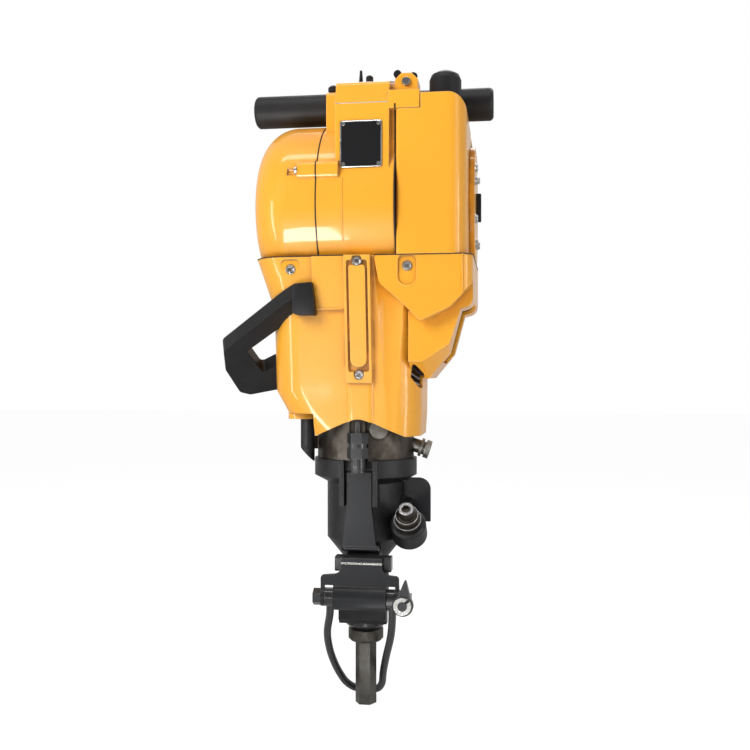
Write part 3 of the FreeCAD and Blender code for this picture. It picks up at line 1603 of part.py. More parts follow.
def louvre_hole():
    # slanted window at the right front corner of the column
    left = louvre_side - louvre_width
    middle = (louvre_top + louvre_bottom) / 2
    return slab([Vec(left + louvre_lean, louvre_front, louvre_top), Vec(left, louvre_front, middle),
                 Vec(louvre_side, louvre_front, louvre_bottom),
                 Vec(louvre_side + louvre_lean, louvre_front, middle + louvre_lean)],
                [louvre_lean] * 4, Vec(0, louvre_depth, 0))


def side_slot():
    # exhaust slot in the right wall of the duct
    left = muffler_right + part_gap
    low = slot_bottom - duct_bevel_drop
    return slab_x([(slot_front, low), (slot_front, slot_top), (slot_back, slot_top), (slot_back, low)],
                  [0, recess_depth, recess_depth, 0],
                  left - shroud_wall * 2, pouch_right + overrun)


def shroud_halves():
    shell = shroud_shell()
    wide = shroud_top_left + pouch_right
    front_half = block(-wide, wide, -wide, 0, 0, seam_height + wide)
    rear_half = block(-wide, wide, seam_gap, wide, 0, seam_height + wide)
    front = shell.common(front_half)
    for space in seat_cuts(shroud_screws()) + recess_cuts():
        front = front.cut(space)
    return front, shell.common(rear_half)


def shroud_seats():
    # (side, level, face, radius) of the sunk seats of the front screws
    middle = (channel_left + channel_right) / 2
    high = seam_height - screw_head_radius * 1.4
    low = channel_bottom + screw_head_radius * 2
    small = screw_head_radius + overrun
    return [(middle, high, channel_face(high), small), (middle, low, channel_face(low), small),
            (left_recess_side, left_recess_height, -shroud_top_depth, recess_radius),
            (right_recess_side, right_recess_height, pouch_front, recess_radius)]


def recess_cuts():
    cuts = []
    for side, level, face, radius in shroud_seats():
        drop = radius if radius == recess_radius else 0
        cuts.append(slab_y([(side - radius, level + radius), (side + radius, level + radius),
                            (side + radius, level - radius - drop), (side - radius, level - radius - drop)],
                           [radius * 0.5, radius * 0.5, radius * 0.95, radius * 0.95],
                           face - overrun, face + recess_depth / 2))
    return cuts


def louvre_grille():
    # slotted black plate that backs the window from inside the shroud
    left = louvre_side - louvre_width - louvre_margin
    inner = shroud_body(shroud_wall + running_gap, 0)
    plate = inner.cut(shroud_body(shroud_wall + running_gap + louvre_wall, 0))
    plate = plate.common(block(left, louvre_side, louvre_front, louvre_front + louvre_depth,
                               louvre_bottom - louvre_margin, louvre_top + louvre_margin))
    pitch = louvre_height / louvre_slats
    drop = louvre_width
    for index in range(louvre_slats):
        high = louvre_bottom + drop + pitch * index
        plate = plate.cut(slab([Vec(left + louvre_lean, louvre_front, high), Vec(louvre_side, louvre_front, high - drop),
                                Vec(louvre_side, louvre_front, high - drop + louvre_slat),
                                Vec(left + louvre_lean, louvre_front, high + louvre_slat)],
                               [0] * 4, Vec(0, louvre_depth, 0)))
    return plate


# Blow tube

def blow_tube():
    # tube with a slanted tip that comes down from the shroud
    length = tube_top - tube_bottom
    tube_side = collar_side + collar_inner - tube_radius - part_gap
    tube = rod(tube_radius, length, Vec(tube_side, tube_depth, tube_bottom))
    tube = tube.cut(rod(tube_bore, length + 2 * overrun, Vec(tube_side, tube_depth, tube_bottom - overrun)))
    left = tube_side - tube_radius - overrun
    right_side = tube_side + tube_radius
    cutter = slab_y([(left, tube_bottom - overrun), (left, tube_bottom + tube_cut_rise), (right_side, tube_bottom),
                     (right_side, tube_bottom - overrun)], [0, 0, 0, 0], tube_depth - 2 * tube_radius,
                    tube_depth + 2 * tube_radius)
    return tube.cut(cutter)


# Carry handle: a bent D in a tilted plane

def handle_frame():
    handle_front = handle_root()
    handle_knuckle = Vec(-handle_knuckle_side, -handle_knuckle_depth, seam_height - handle_knuckle_drop)
    handle_rear = Vec(-handle_rear_side, 0, seam_height - handle_rear_drop)
    normal = (handle_knuckle - handle_front).cross(handle_rear - handle_front).normalize()
    along = (handle_rear - handle_front).normalize()
    across = normal.cross(along)
    return along, across, normal


def handle_root():
    return Vec(-handle_front_side, -handle_front_depth, seam_height - handle_front_drop)


def carry_handle():
    along, across, normal = handle_frame()
    base = handle_root() - normal * (handle_thickness / 2)
    points = [base + along * (a * handle_length) + across * (b * handle_depth) for a, b in handle_outline_shares]
    radii = [share * handle_thickness for share in handle_round_shares]
    return slab(points, radii, normal * handle_thickness).cut(shroud_body(0, 0))


# Muffler, spark plug and coil

def muffler():
    body = slab_z([(muffler_left, muffler_front), (muffler_left, muffler_back), (muffler_right, muffler_back),
                   (muffler_right, muffler_front)], [muffler_corner] * 4, muffler_bottom, muffler_top)
    pipe = rod(port_radius, muffler_left + muffler_corner - bore_radius - part_gap,
               Vec(bore_radius + part_gap, 0, port_height), right)
    return fused([body, pipe])


def spark_plug():
    outer = bore_radius + barrel_wall
    start = Vec(-bore_radius - part_gap, 0, spark_height)
    direction = right.negative()
    thread = rod(spark_radius, barrel_wall, start, direction)
    body = rod(spark_body_radius, spark_reach, start + direction * barrel_wall, direction)
    cap = rod(spark_cap_radius, spark_cap_height, start + direction * (barrel_wall + spark_reach), direction)
    return fused([thread, body, cap])


def ignition_coil():
    return block(flywheel_inner + part_gap, centre_left, coil_width * -1.5, coil_width * -0.5,
                 crank_height - flywheel_radius * 0.6, crank_height - flywheel_radius * 0.6 + coil_height)


# Screws

def screw(seat, direction):
    # direction points out of the face that the head rests on
    head = rod(screw_head_radius, screw_head_height, seat, direction)
    shank = rod(screw_shank_radius, screw_shank_length, seat, direction.negative())
    socket = hexagon(screw_socket_flats, screw_socket_depth + overrun,
                     seat + direction * (screw_head_height - screw_socket_depth), direction)
    return fused([head, shank]).cut(socket)


def seat_cuts(seats):
    return [rod(screw_shank_radius + running_gap, screw_shank_length + part_gap + overrun,
                seat + direction * overrun, direction.negative()) for seat, direction in seats]


def screws(seats):
    return Part.makeCompound([screw(seat, direction) for seat, direction in seats])


def shroud_screws():
    return [(Vec(side, face + recess_depth / 2, level), back.negative())
            for side, level, face, radius in shroud_seats()]


def cover_screws():
    return [(Vec(ridge_left, ridge_front + ridge_screw_inset, ridge_height), right.negative())]


def side_screws():
    face = tank_right + seam_gap / 2 + side_plate_thickness
    wide = side_plate_radius * 0.8
    seats = []
    for depth_share, level_share in side_screw_shares:
        seats.append((Vec(face, side_plate_depth + depth_share * wide, side_plate_height + level_share * wide), right))
    return seats


def throttle_screw():
    middle = (throttle_left + throttle_right) / 2
    head = rod(screw_head_radius, screw_head_height, Vec(middle, throttle_front - screw_head_height, lever_height), back)
    shank = rod(screw_shank_radius, throttle_back - throttle_front + lever_thickness + 2 * part_gap,
                Vec(middle, throttle_front, lever_height), back)
    nut = hexagon(2 * screw_head_radius, screw_head_height,
                  Vec(middle, throttle_back + lever_thickness + 2 * part_gap, lever_height), back)
    return fused([head, shank, nut])


os.makedirs("parts", exist_ok=True)
front_half, rear_half = shroud_halves()
pieces = {
    "drill_steel": drill_steel(),
    "chuck_sleeve": chuck_sleeve(),
    "ratchet_ring": ratchet_ring(),
    "pawl_ring": pawl_ring(),
    "front_head": front_head(),
    "leaf_spring": leaf_spring(),
    "clamping_stud": head_studs(),
    "hinge_bolt": hinge_bolt(),
    "retainer_bracket": retainer_bracket(),
    "bail_pivot_bolt": bail_pivot_bolt(),
    "bail": bail(),
    "latch_screw": latch_screw(),
    "lock_washer": lock_washer(),
    "latch_lever": latch_lever(),
    "selector_body": selector_body(),
    "selector_spindle": selector_spindle(),
    "selector_cover": selector_cover(),
    "cylinder": cylinder(),
    "side_plug": side_plug(),
    "disc_plug": disc_plug(),
    "hammer_piston": hammer_piston(),
    "engine_piston": engine_piston(),
    "piston_rings": piston_rings(),
    "wrist_pin": wrist_pin(),
    "connecting_rod": connecting_rod(),
    "crank_pin": crank_pin(),
    "crankshaft": crankshaft(),
    "main_bearings": main_bearings(),
    "flywheel_fan": flywheel_fan(),
    "starter_pulley": starter_pulley(),
    "starter_handle": starter_handle(),
    "centre_housing": centre_housing(),
    "starter_cover": starter_cover(),
    "name_plate": name_plate(),
    "plate_rivets": plate_rivets(),
    "handlebar": handlebar(),
    "left_grip": grip(left_grip_inner, left_grip_end),
    "right_grip": grip(right_grip_inner, right_grip_end),
    "throttle_box": throttle_box(),
    "throttle_lever": throttle_lever(),
    "throttle_screw": throttle_screw(),
    "stop_switch": stop_switch(),
    "primer_button": primer_button(),
    "fuel_tank": fuel_tank(),
    "fuel_cap": fuel_cap(),
    "air_filter_housing": air_filter_housing(),
    "air_filter_element": air_filter_element(),
    "carburettor": carburettor(),
    "side_cover": side_cover(),
    "side_cover_bar": side_cover_bar(),
    "front_shroud": front_half,
    "rear_shroud": rear_half,
    "casing_screws": screws(cover_screws() + side_screws() + shroud_screws()),
    "louvre_grille": louvre_grille(),
    "blow_tube": blow_tube(),
    "carry_handle": carry_handle(),
    "muffler": muffler(),
    "spark_plug": spark_plug(),
    "ignition_coil": ignition_coil(),
}
for node, shape in pieces.items():
    save(node, shape)
    print(node, len(shape.Solids), shape.isValid(), round(shape.Volume))
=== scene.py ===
import json
import math

import bmesh
import bpy
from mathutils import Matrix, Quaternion, Vector

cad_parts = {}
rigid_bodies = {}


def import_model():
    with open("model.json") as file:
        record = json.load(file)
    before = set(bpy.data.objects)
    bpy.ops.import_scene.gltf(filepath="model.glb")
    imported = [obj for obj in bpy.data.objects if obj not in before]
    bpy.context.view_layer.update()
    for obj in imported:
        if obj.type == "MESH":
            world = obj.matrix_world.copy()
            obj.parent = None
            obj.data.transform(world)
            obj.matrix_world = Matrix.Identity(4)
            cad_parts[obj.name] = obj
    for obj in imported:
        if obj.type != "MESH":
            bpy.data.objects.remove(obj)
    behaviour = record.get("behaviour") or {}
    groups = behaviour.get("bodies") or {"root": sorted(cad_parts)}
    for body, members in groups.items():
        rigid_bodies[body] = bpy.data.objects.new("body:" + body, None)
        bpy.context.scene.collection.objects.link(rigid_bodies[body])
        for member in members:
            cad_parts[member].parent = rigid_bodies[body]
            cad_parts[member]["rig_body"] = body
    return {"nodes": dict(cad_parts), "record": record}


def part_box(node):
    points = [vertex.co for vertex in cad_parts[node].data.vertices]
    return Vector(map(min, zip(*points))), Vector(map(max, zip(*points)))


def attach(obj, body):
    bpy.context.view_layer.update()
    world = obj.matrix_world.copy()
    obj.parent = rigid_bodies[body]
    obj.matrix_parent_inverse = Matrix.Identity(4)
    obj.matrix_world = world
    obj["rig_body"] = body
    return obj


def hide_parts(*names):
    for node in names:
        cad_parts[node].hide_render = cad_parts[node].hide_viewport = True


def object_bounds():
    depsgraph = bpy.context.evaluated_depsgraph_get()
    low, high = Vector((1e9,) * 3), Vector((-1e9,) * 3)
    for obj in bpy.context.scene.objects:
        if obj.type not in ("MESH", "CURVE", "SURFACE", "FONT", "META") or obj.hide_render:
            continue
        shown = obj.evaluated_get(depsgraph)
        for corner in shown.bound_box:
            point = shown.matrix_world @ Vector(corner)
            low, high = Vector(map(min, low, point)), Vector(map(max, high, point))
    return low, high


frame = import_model()
nodes = frame["nodes"]
slotOf = {row["node"]: row["material_slot"] for row in frame["record"]["subparts"]}
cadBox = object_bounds()
print("frame loaded:", len(nodes), "pieces")

mm = 0.001


def place(x, y, z):
    return Vector((x * mm, y * mm, z * mm))


# camera, level with the shroud and a little to the right of the front

camera = {"lens": 46.0, "sensor": 36.0, "nearest": 10.0, "at": (170.8, -1137.3, 300.0),
          "towards": (-0.1392, 0.9903, 0.0)}  # lengths in mm

cameraData = bpy.data.cameras.new("camera")
cameraData.lens = camera["lens"]
cameraData.sensor_width = camera["sensor"]
cameraData.clip_start = camera["nearest"] * mm
cameraObject = bpy.data.objects.new("camera", cameraData)
bpy.context.scene.collection.objects.link(cameraObject)
cameraObject.location = place(*camera["at"])
cameraObject.rotation_mode = "QUATERNION"
cameraObject.rotation_quaternion = Vector(camera["towards"]).to_track_quat("-Z", "Y")
bpy.context.scene.camera = cameraObject
bpy.context.scene.view_settings.view_transform = "Standard"


# small helpers for shader and geometry trees

def feed(tree, socket, value):
    # a socket takes a link or a constant
    if isinstance(value, bpy.types.NodeSocket):
        tree.links.new(value, socket)
    else:
        socket.default_value = value


def addNode(tree, kind, settings=None, **values):
    # i0, i1 and so on are sockets by number, other names are labels
    node = tree.nodes.new(kind)
    for name, value in (settings or {}).items():
        setattr(node, name, value)
    for label, value in values.items():
        numbered = label[0] == "i" and label[1:].isdigit()
        feed(tree, node.inputs[int(label[1:]) if numbered else label.replace("_", " ")], value)
    return node


def newTree(name, kind, inputs, outputs):
    tree = bpy.data.node_groups.new(name, kind)
    for label, socketKind, value in inputs:
        socket = tree.interface.new_socket(label, in_out="INPUT", socket_type=socketKind)
        if value is not None:
            socket.default_value = value
    for label, socketKind in outputs:
        tree.interface.new_socket(label, in_out="OUTPUT", socket_type=socketKind)
    return tree, tree.nodes.new("NodeGroupInput"), tree.nodes.new("NodeGroupOutput")


def maths(tree, operation, *values, clamp=False):
    node = tree.nodes.new("ShaderNodeMath")
    node.operation = operation
    node.use_clamp = clamp
    for index, value in enumerate(values):
        feed(tree, node.inputs[index], value)
    return node.outputs[0]


def times(tree, first, second, clamp=False):
    return maths(tree, "MULTIPLY", first, second, clamp=clamp)


def plus(tree, base, mask, share, clamp=False):
    return maths(tree, "ADD", base, times(tree, mask, share), clamp=clamp)


def spread(tree, value, low, high, newLow=0.0, newHigh=1.0):
    node = addNode(tree, "ShaderNodeMapRange", {"interpolation_type": "SMOOTHSTEP"}, i0=value, i1=low,
                   i2=high, i3=newLow, i4=newHigh)
    return node.outputs[0]


def noise(tree, vector, scale, detail=4.0, roughness=0.55):
    node = addNode(tree, "ShaderNodeTexNoise", None, Vector=vector, Scale=scale, Detail=detail,
                   Roughness=roughness)
    return node.outputs["Fac"]


def mixColour(tree, factor, first, second):
    node = tree.nodes.new("ShaderNodeMix")
    node.data_type = "RGBA"
    for index, value in ((0, factor), (6, first), (7, second)):
        feed(tree, node.inputs[index], value)
    return node.outputs[2]


def layer(tree, colour, mask, share, over):
    # a second colour over the first, where the mask is and as strong as the share
    return mixColour(tree, times(tree, mask, share), colour, over)


def objectCoords(tree):
    return tree.nodes.new("ShaderNodeTexCoord").outputs["Object"]


# effects that several finishes share
# a noise is its scale, detail and roughness, a mask is where it starts and where it is full
# lengths in the materials are in metres, as their sockets take them

edgeWearAndHighlight = {"samples": 6, "patches": (85.0, 6.0, 0.65), "bendMask": (0.015, 0.14), "wearShare": 0.4,
            "brokenMask": (0.55, 0.78)}


def makeEdges():
    # rounded edge normal and a broken line along the edges, for worn edges and, on the yellow, a painted
    # highlight along the creases
    tree, entry, leave = newTree("worn and highlit edges", "ShaderNodeTree",
                                 [("Radius", "NodeSocketFloat", 0.001), ("Wear", "NodeSocketFloat", 0.5)],
                                 [("Normal", "NodeSocketVector"), ("Edge", "NodeSocketFloat")])
    rounded = addNode(tree, "ShaderNodeBevel", {"samples": edgeWearAndHighlight["samples"]},
                      Radius=entry.outputs["Radius"])
    flat = tree.nodes.new("ShaderNodeNewGeometry")
    facing = addNode(tree, "ShaderNodeVectorMath", {"operation": "DOT_PRODUCT"}, i0=rounded.outputs[0],
                     i1=flat.outputs["Normal"])
    bend = maths(tree, "SUBTRACT", 1.0, facing.outputs["Value"])
    patches = noise(tree, objectCoords(tree), *edgeWearAndHighlight["patches"])
    line = spread(tree, bend, *edgeWearAndHighlight["bendMask"])
    broken = spread(tree, plus(tree, patches, entry.outputs["Wear"], edgeWearAndHighlight["wearShare"]),
                    *edgeWearAndHighlight["brokenMask"])
    tree.links.new(rounded.outputs[0], leave.inputs["Normal"])
    tree.links.new(times(tree, line, broken, clamp=True), leave.inputs["Edge"])
    return tree


# settings of the painted shade in the corners, its dirt cloud, and the dust film on top faces
dustAndShade = {"samples": 6, "cloudDetail": 7.0, "cloudRough": 0.6, "cornerShadeMask": (0.95, 0.35),
        "dirtMask": (0.3, 0.62), "upMask": (0.2, 0.95), "filmMask": (0.35, 0.75)}


def makeDustDirtAndShade():
    # painted shade in the corners, where ambient occlusion finds hollows, broken up by a dirt cloud, and a
    # film of dust on what faces up
    tree, entry, leave = newTree("dust and dirt", "ShaderNodeTree",
                                 [("Depth", "NodeSocketFloat", 0.008), ("Scale", "NodeSocketFloat", 40.0)],
                                 [("ShadeAndDirt", "NodeSocketFloat"), ("Film", "NodeSocketFloat")])
    hidden = addNode(tree, "ShaderNodeAmbientOcclusion", {"samples": dustAndShade["samples"]},
                     Distance=entry.outputs["Depth"])
    cloud = noise(tree, objectCoords(tree), entry.outputs["Scale"], dustAndShade["cloudDetail"], dustAndShade["cloudRough"])
    # corner mask: painted shade where ambient occlusion finds hollows, made patchy like dirt
    corner = times(tree, spread(tree, hidden.outputs["AO"], *dustAndShade["cornerShadeMask"]),
                   spread(tree, cloud, *dustAndShade["dirtMask"]), clamp=True)
    normal = tree.nodes.new("ShaderNodeNewGeometry")
    height = addNode(tree, "ShaderNodeSeparateXYZ", None, i0=normal.outputs["Normal"])
    film = times(tree, spread(tree, height.outputs["Z"], *dustAndShade["upMask"]),
                 spread(tree, cloud, *dustAndShade["filmMask"]), clamp=True)
    tree.links.new(corner, leave.inputs["ShadeAndDirt"])
    tree.links.new(film, leave.inputs["Film"])
    return tree


sandSkin = {"lumpScale": 90.0, "lumpDetail": 3.0, "lumpRough": 0.5, "lumpShare": 0.55, "gritScale": 620.0,
            "gritDetail": 5.0, "gritRough": 0.7, "gritShare": 0.3, "pitScale": 260.0, "pitMask": (0.0, 0.28),
            "pitShare": 0.15, "toneMask": (0.3, 0.7)}


def makeSkin():
    # sand-cast skin: soft lumps, fine grit and a few pits
    tree, entry, leave = newTree("cast skin", "ShaderNodeTree", [("Scale", "NodeSocketFloat", 1.0)],
                                 [("Height", "NodeSocketFloat"), ("Tone", "NodeSocketFloat")])
    coords = objectCoords(tree)
    scale = entry.outputs["Scale"]
    lumps = noise(tree, coords, times(tree, scale, sandSkin["lumpScale"]), sandSkin["lumpDetail"],
                  sandSkin["lumpRough"])
    grit = noise(tree, coords, times(tree, scale, sandSkin["gritScale"]), sandSkin["gritDetail"],
                 sandSkin["gritRough"])
    pits = addNode(tree, "ShaderNodeTexVoronoi", None, Vector=coords,
                   Scale=times(tree, scale, sandSkin["pitScale"]))
    pit = spread(tree, pits.outputs["Distance"], *sandSkin["pitMask"])
    fine = plus(tree, times(tree, grit, sandSkin["gritShare"]), pit, sandSkin["pitShare"])
    tree.links.new(plus(tree, fine, lumps, sandSkin["lumpShare"]), leave.inputs["Height"])
    tree.links.new(spread(tree, lumps, *sandSkin["toneMask"]), leave.inputs["Tone"])
    return tree


scratches = {"turns": ((0.3, 0.2, 0.5), (0.9, -0.4, 1.4)), "stretches": ((1.0, 1.0, 0.03), (0.04, 1.0, 1.0)),
             "fineness": 26.0, "detail": 2.0, "rough": 0.5, "lineMask": (0.70, 0.76), "patchDetail": 4.0,
             "patchRough": 0.6, "patchMask": (0.45, 0.7)}


def makeScratches():
    # hairlines in two directions
    tree, entry, leave = newTree("hairlines", "ShaderNodeTree",
                                 [("Scale", "NodeSocketFloat", 30.0), ("Amount", "NodeSocketFloat", 0.5)],
                                 [("Mask", "NodeSocketFloat")])
    coords, scale = objectCoords(tree), entry.outputs["Scale"]
    lines = []
    for turn, stretch in zip(scratches["turns"], scratches["stretches"]):
        turned = addNode(tree, "ShaderNodeMapping", None, Vector=coords, Rotation=turn, Scale=stretch)
        field = noise(tree, turned.outputs[0], times(tree, scale, scratches["fineness"]), scratches["detail"],
                      scratches["rough"])
        lines.append(spread(tree, field, *scratches["lineMask"]))
    both = maths(tree, "MAXIMUM", *lines)
    patchy = spread(tree, noise(tree, coords, scale, scratches["patchDetail"], scratches["patchRough"]),
                    *scratches["patchMask"])
    tree.links.new(times(tree, times(tree, both, patchy), entry.outputs["Amount"], clamp=True),
                   leave.inputs["Mask"])
    return tree


wornAndHighlitEdges, dustAndShadeAndDirt, castSkin, hairlines = makeEdges(), makeDustDirtAndShade(), makeSkin(), makeScratches()


# finishes

def useGroup(tree, group, **values):
    node = tree.nodes.new("ShaderNodeGroup")
    node.node_tree = group
    for label, value in values.items():
        node.inputs[label].default_value = value
    return node.outputs


def newFinish(name, **sockets):
    material = bpy.data.materials.new(name)
    material.use_nodes = True
    tree = material.node_tree
    surface = tree.nodes["Principled BSDF"]
    for label, value in sockets.items():
        surface.inputs[label.replace("_", " ")].default_value = value
    return material, tree, surface


def finish(tree, surface, colour, rough):
    tree.links.new(colour, surface.inputs["Base Color"])
    tree.links.new(rough, surface.inputs["Roughness"])


def bump(tree, surface, height, strength, depth, normal):
    node = addNode(tree, "ShaderNodeBump", None, Strength=strength, Distance=depth, Height=height,
                   Normal=normal)
    tree.links.new(node.outputs[0], surface.inputs["Normal"])


paint = {"dirtAndShadeDepth": 0.009, "dirtScale": 34.0, "lineScale": 22.0, "cloud": (7.0, 3.0),
         "cloudMask": (0.3, 0.7), "cloudShare": 0.35, "filmShare": 0.04, "filmColour": (0.42, 0.38, 0.32, 1),
         "lineRough": 0.22, "dirtRough": 0.2, "blotch": (30.0,), "blotchRough": 0.05,
         "finePeel": (420.0, 2.0, 0.4), "fineShare": 0.8, "widePeel": (45.0, 1.0, 0.3), "wideShare": 1.6,
         "bumpDepth": 0.0006}


def makePaint(name, look):
    material, tree, surface = newFinish(name, Coat_Weight=look["coat"], Coat_Roughness=look["coatRough"],
                                        Specular_IOR_Level=look["specular"])
    coords = objectCoords(tree)
    edges = useGroup(tree, wornAndHighlitEdges, Radius=look["edge"], Wear=look["wear"])
    dirtAndShade = useGroup(tree, dustAndShadeAndDirt, Depth=paint["dirtAndShadeDepth"], Scale=paint["dirtScale"])
    lines = useGroup(tree, hairlines, Scale=paint["lineScale"], Amount=look["scratch"])
    cloud = spread(tree, noise(tree, coords, *paint["cloud"]), *paint["cloudMask"])
    colour = layer(tree, look["colour"], cloud, paint["cloudShare"], look["deep"])
    # corner tint: on the yellow a darker painted shade in the hollows, on the black enamels lighter dirt
    colour = layer(tree, colour, dirtAndShade["ShadeAndDirt"], look["dirtAndShade"], look["dirtAndShadeColour"])
    colour = layer(tree, colour, dirtAndShade["Film"], paint["filmShare"], paint["filmColour"])
    # edge colour: worn edges, and on the yellow a pale cream painted highlight along the creases, partly thin
    # worn paint
    colour = layer(tree, colour, edges["Edge"], look["edgeShare"], look["under"])
    rough = plus(tree, look["rough"], lines["Mask"], paint["lineRough"])
    rough = plus(tree, rough, dirtAndShade["ShadeAndDirt"], paint["dirtRough"])
    rough = plus(tree, rough, noise(tree, coords, *paint["blotch"]), paint["blotchRough"], clamp=True)
    finish(tree, surface, colour, rough)
    peel = plus(tree, times(tree, noise(tree, coords, *paint["finePeel"]), paint["fineShare"]),
                noise(tree, coords, *paint["widePeel"]), paint["wideShare"])
    bump(tree, surface, peel, look["peel"], paint["bumpDepth"], edges["Normal"])
    return material


casting = {"dirtAndShadeDepth": 0.008, "dirtScale": 60.0, "toneShare": 0.6, "dirtAndShadeShare": 0.55,
           "filmColour": (0.16, 0.15, 0.14, 1), "toneRough": 0.12, "edgeRough": -0.12, "bumpDepth": 0.0012}


def makeCasting(name, look):
    material, tree, surface = newFinish(name, Metallic=look["metal"], Specular_IOR_Level=look["specular"])
    edges = useGroup(tree, wornAndHighlitEdges, Radius=look["edge"], Wear=look["wear"])
    dirtAndShade = useGroup(tree, dustAndShadeAndDirt, Depth=casting["dirtAndShadeDepth"], Scale=casting["dirtScale"])
    skin = useGroup(tree, castSkin, Scale=look["grain"])
    colour = layer(tree, look["colour"], skin["Tone"], casting["toneShare"], look["tone"])
    # painted shade: hollows darkened toward near black, patchy like dirt
    colour = layer(tree, colour, dirtAndShade["ShadeAndDirt"], casting["dirtAndShadeShare"], look["dirtAndShadeColour"])
    colour = layer(tree, colour, edges["Edge"], look["edgeShare"], look["bare"])
    colour = layer(tree, colour, dirtAndShade["Film"], look["film"], casting["filmColour"])
    rough = plus(tree, look["rough"], skin["Tone"], casting["toneRough"])
    rough = plus(tree, rough, edges["Edge"], casting["edgeRough"], clamp=True)
    finish(tree, surface, colour, rough)
    bump(tree, surface, skin["Height"], look["bump"], casting["bumpDepth"], edges["Normal"])
    return material


metal = {"wear": 0.6, "dirtAndShadeDepth": 0.006, "dirtScale": 80.0, "lineScale": 60.0, "lineAmount": 0.7,
         "cuts": (900.0, 3.0, 0.6), "stainDetail": 6.0, "stainRough": 0.62, "stainMask": (0.36, 0.68),
         "dirtAndShadeShare": 0.7, "dirtAndShadeColour": (0.02, 0.018, 0.015, 1), "brightShare": 0.6, "stainDull": 0.16,
         "lineRough": -0.1, "bumpDepth": 0.0003}


def makeMetal(name, look):
    # worked steel: cutting marks along one axis, oil stains and hairlines
    material, tree, surface = newFinish(name, Metallic=1.0)
    coords = objectCoords(tree)
    edges = useGroup(tree, wornAndHighlitEdges, Radius=look["edge"], Wear=metal["wear"])
    dirtAndShade = useGroup(tree, dustAndShadeAndDirt, Depth=metal["dirtAndShadeDepth"], Scale=metal["dirtScale"])
    lines = useGroup(tree, hairlines, Scale=metal["lineScale"], Amount=metal["lineAmount"])
    stretched = addNode(tree, "ShaderNodeMapping", None, Vector=coords, Scale=look["grainStretch"])
    cuts = noise(tree, stretched.outputs[0], *metal["cuts"])
    stains = noise(tree, coords, look["stainScale"], metal["stainDetail"], metal["stainRough"])
    stains = spread(tree, stains, *metal["stainMask"])
    colour = mixColour(tree, stains, look["colour"], look["stain"])
    # painted shade: hollows darkened in a near-black oily tint, patchy like dirt
    colour = layer(tree, colour, dirtAndShade["ShadeAndDirt"], metal["dirtAndShadeShare"], metal["dirtAndShadeColour"])
    colour = layer(tree, colour, edges["Edge"], metal["brightShare"], look["bright"])
    rough = plus(tree, look["rough"], stains, metal["stainDull"])
    rough = plus(tree, rough, lines["Mask"], metal["lineRough"], clamp=True)
    finish(tree, surface, colour, rough)
    bump(tree, surface, cuts, look["bump"], metal["bumpDepth"], edges["Normal"])
    return material


moulded = {"wear": 0.3, "dirtAndShadeDepth": 0.006, "dirtScale": 55.0, "lineScale": 36.0, "lineAmount": 0.6,
           "tone": (24.0, 5.0), "toneMask": (0.35, 0.7), "dirtAndShadeShare": 0.3,
           "dirtAndShadeColour": (0.05, 0.045, 0.04, 1), "wornShare": 0.35, "filmShare": 0.08,
           "filmColour": (0.12, 0.11, 0.10, 1), "blotch": (18.0, 4.0), "blotchRough": 0.16,
           "lineRough": -0.12, "grainDetail": 2.0, "grainRough": 0.5, "grainShare": 0.7,
           "swell": (60.0, 2.0, 0.4), "swellShare": 0.5, "bumpDepth": 0.0005}


def makeMoulded(name, look):
    # moulded rubber or plastic: fine spark-eroded grain, handling shine
    material, tree, surface = newFinish(name, Specular_IOR_Level=look["specular"])
    coords = objectCoords(tree)
    edges = useGroup(tree, wornAndHighlitEdges, Radius=look["edge"], Wear=moulded["wear"])
    dirtAndShade = useGroup(tree, dustAndShadeAndDirt, Depth=moulded["dirtAndShadeDepth"], Scale=moulded["dirtScale"])
    lines = useGroup(tree, hairlines, Scale=moulded["lineScale"], Amount=moulded["lineAmount"])
    tone = spread(tree, noise(tree, coords, *moulded["tone"]), *moulded["toneMask"])
    colour = mixColour(tree, tone, look["colour"], look["tone"])
    # corner tint: lighter dirt on the black rubber and plastic, a darker painted shade in the foam's hollows
    colour = layer(tree, colour, dirtAndShade["ShadeAndDirt"], moulded["dirtAndShadeShare"], moulded["dirtAndShadeColour"])
    colour = layer(tree, colour, edges["Edge"], moulded["wornShare"], look["worn"])
    colour = layer(tree, colour, dirtAndShade["Film"], moulded["filmShare"], moulded["filmColour"])
    rough = plus(tree, look["rough"], noise(tree, coords, *moulded["blotch"]), moulded["blotchRough"])
    rough = plus(tree, rough, lines["Mask"], moulded["lineRough"], clamp=True)
    finish(tree, surface, colour, rough)
    grain = noise(tree, coords, look["grain"], moulded["grainDetail"], moulded["grainRough"])
    grain = plus(tree, times(tree, grain, moulded["grainShare"]), noise(tree, coords, *moulded["swell"]),
                 moulded["swellShare"])
    bump(tree, surface, grain, look["bump"], moulded["bumpDepth"], edges["Normal"])
    return material


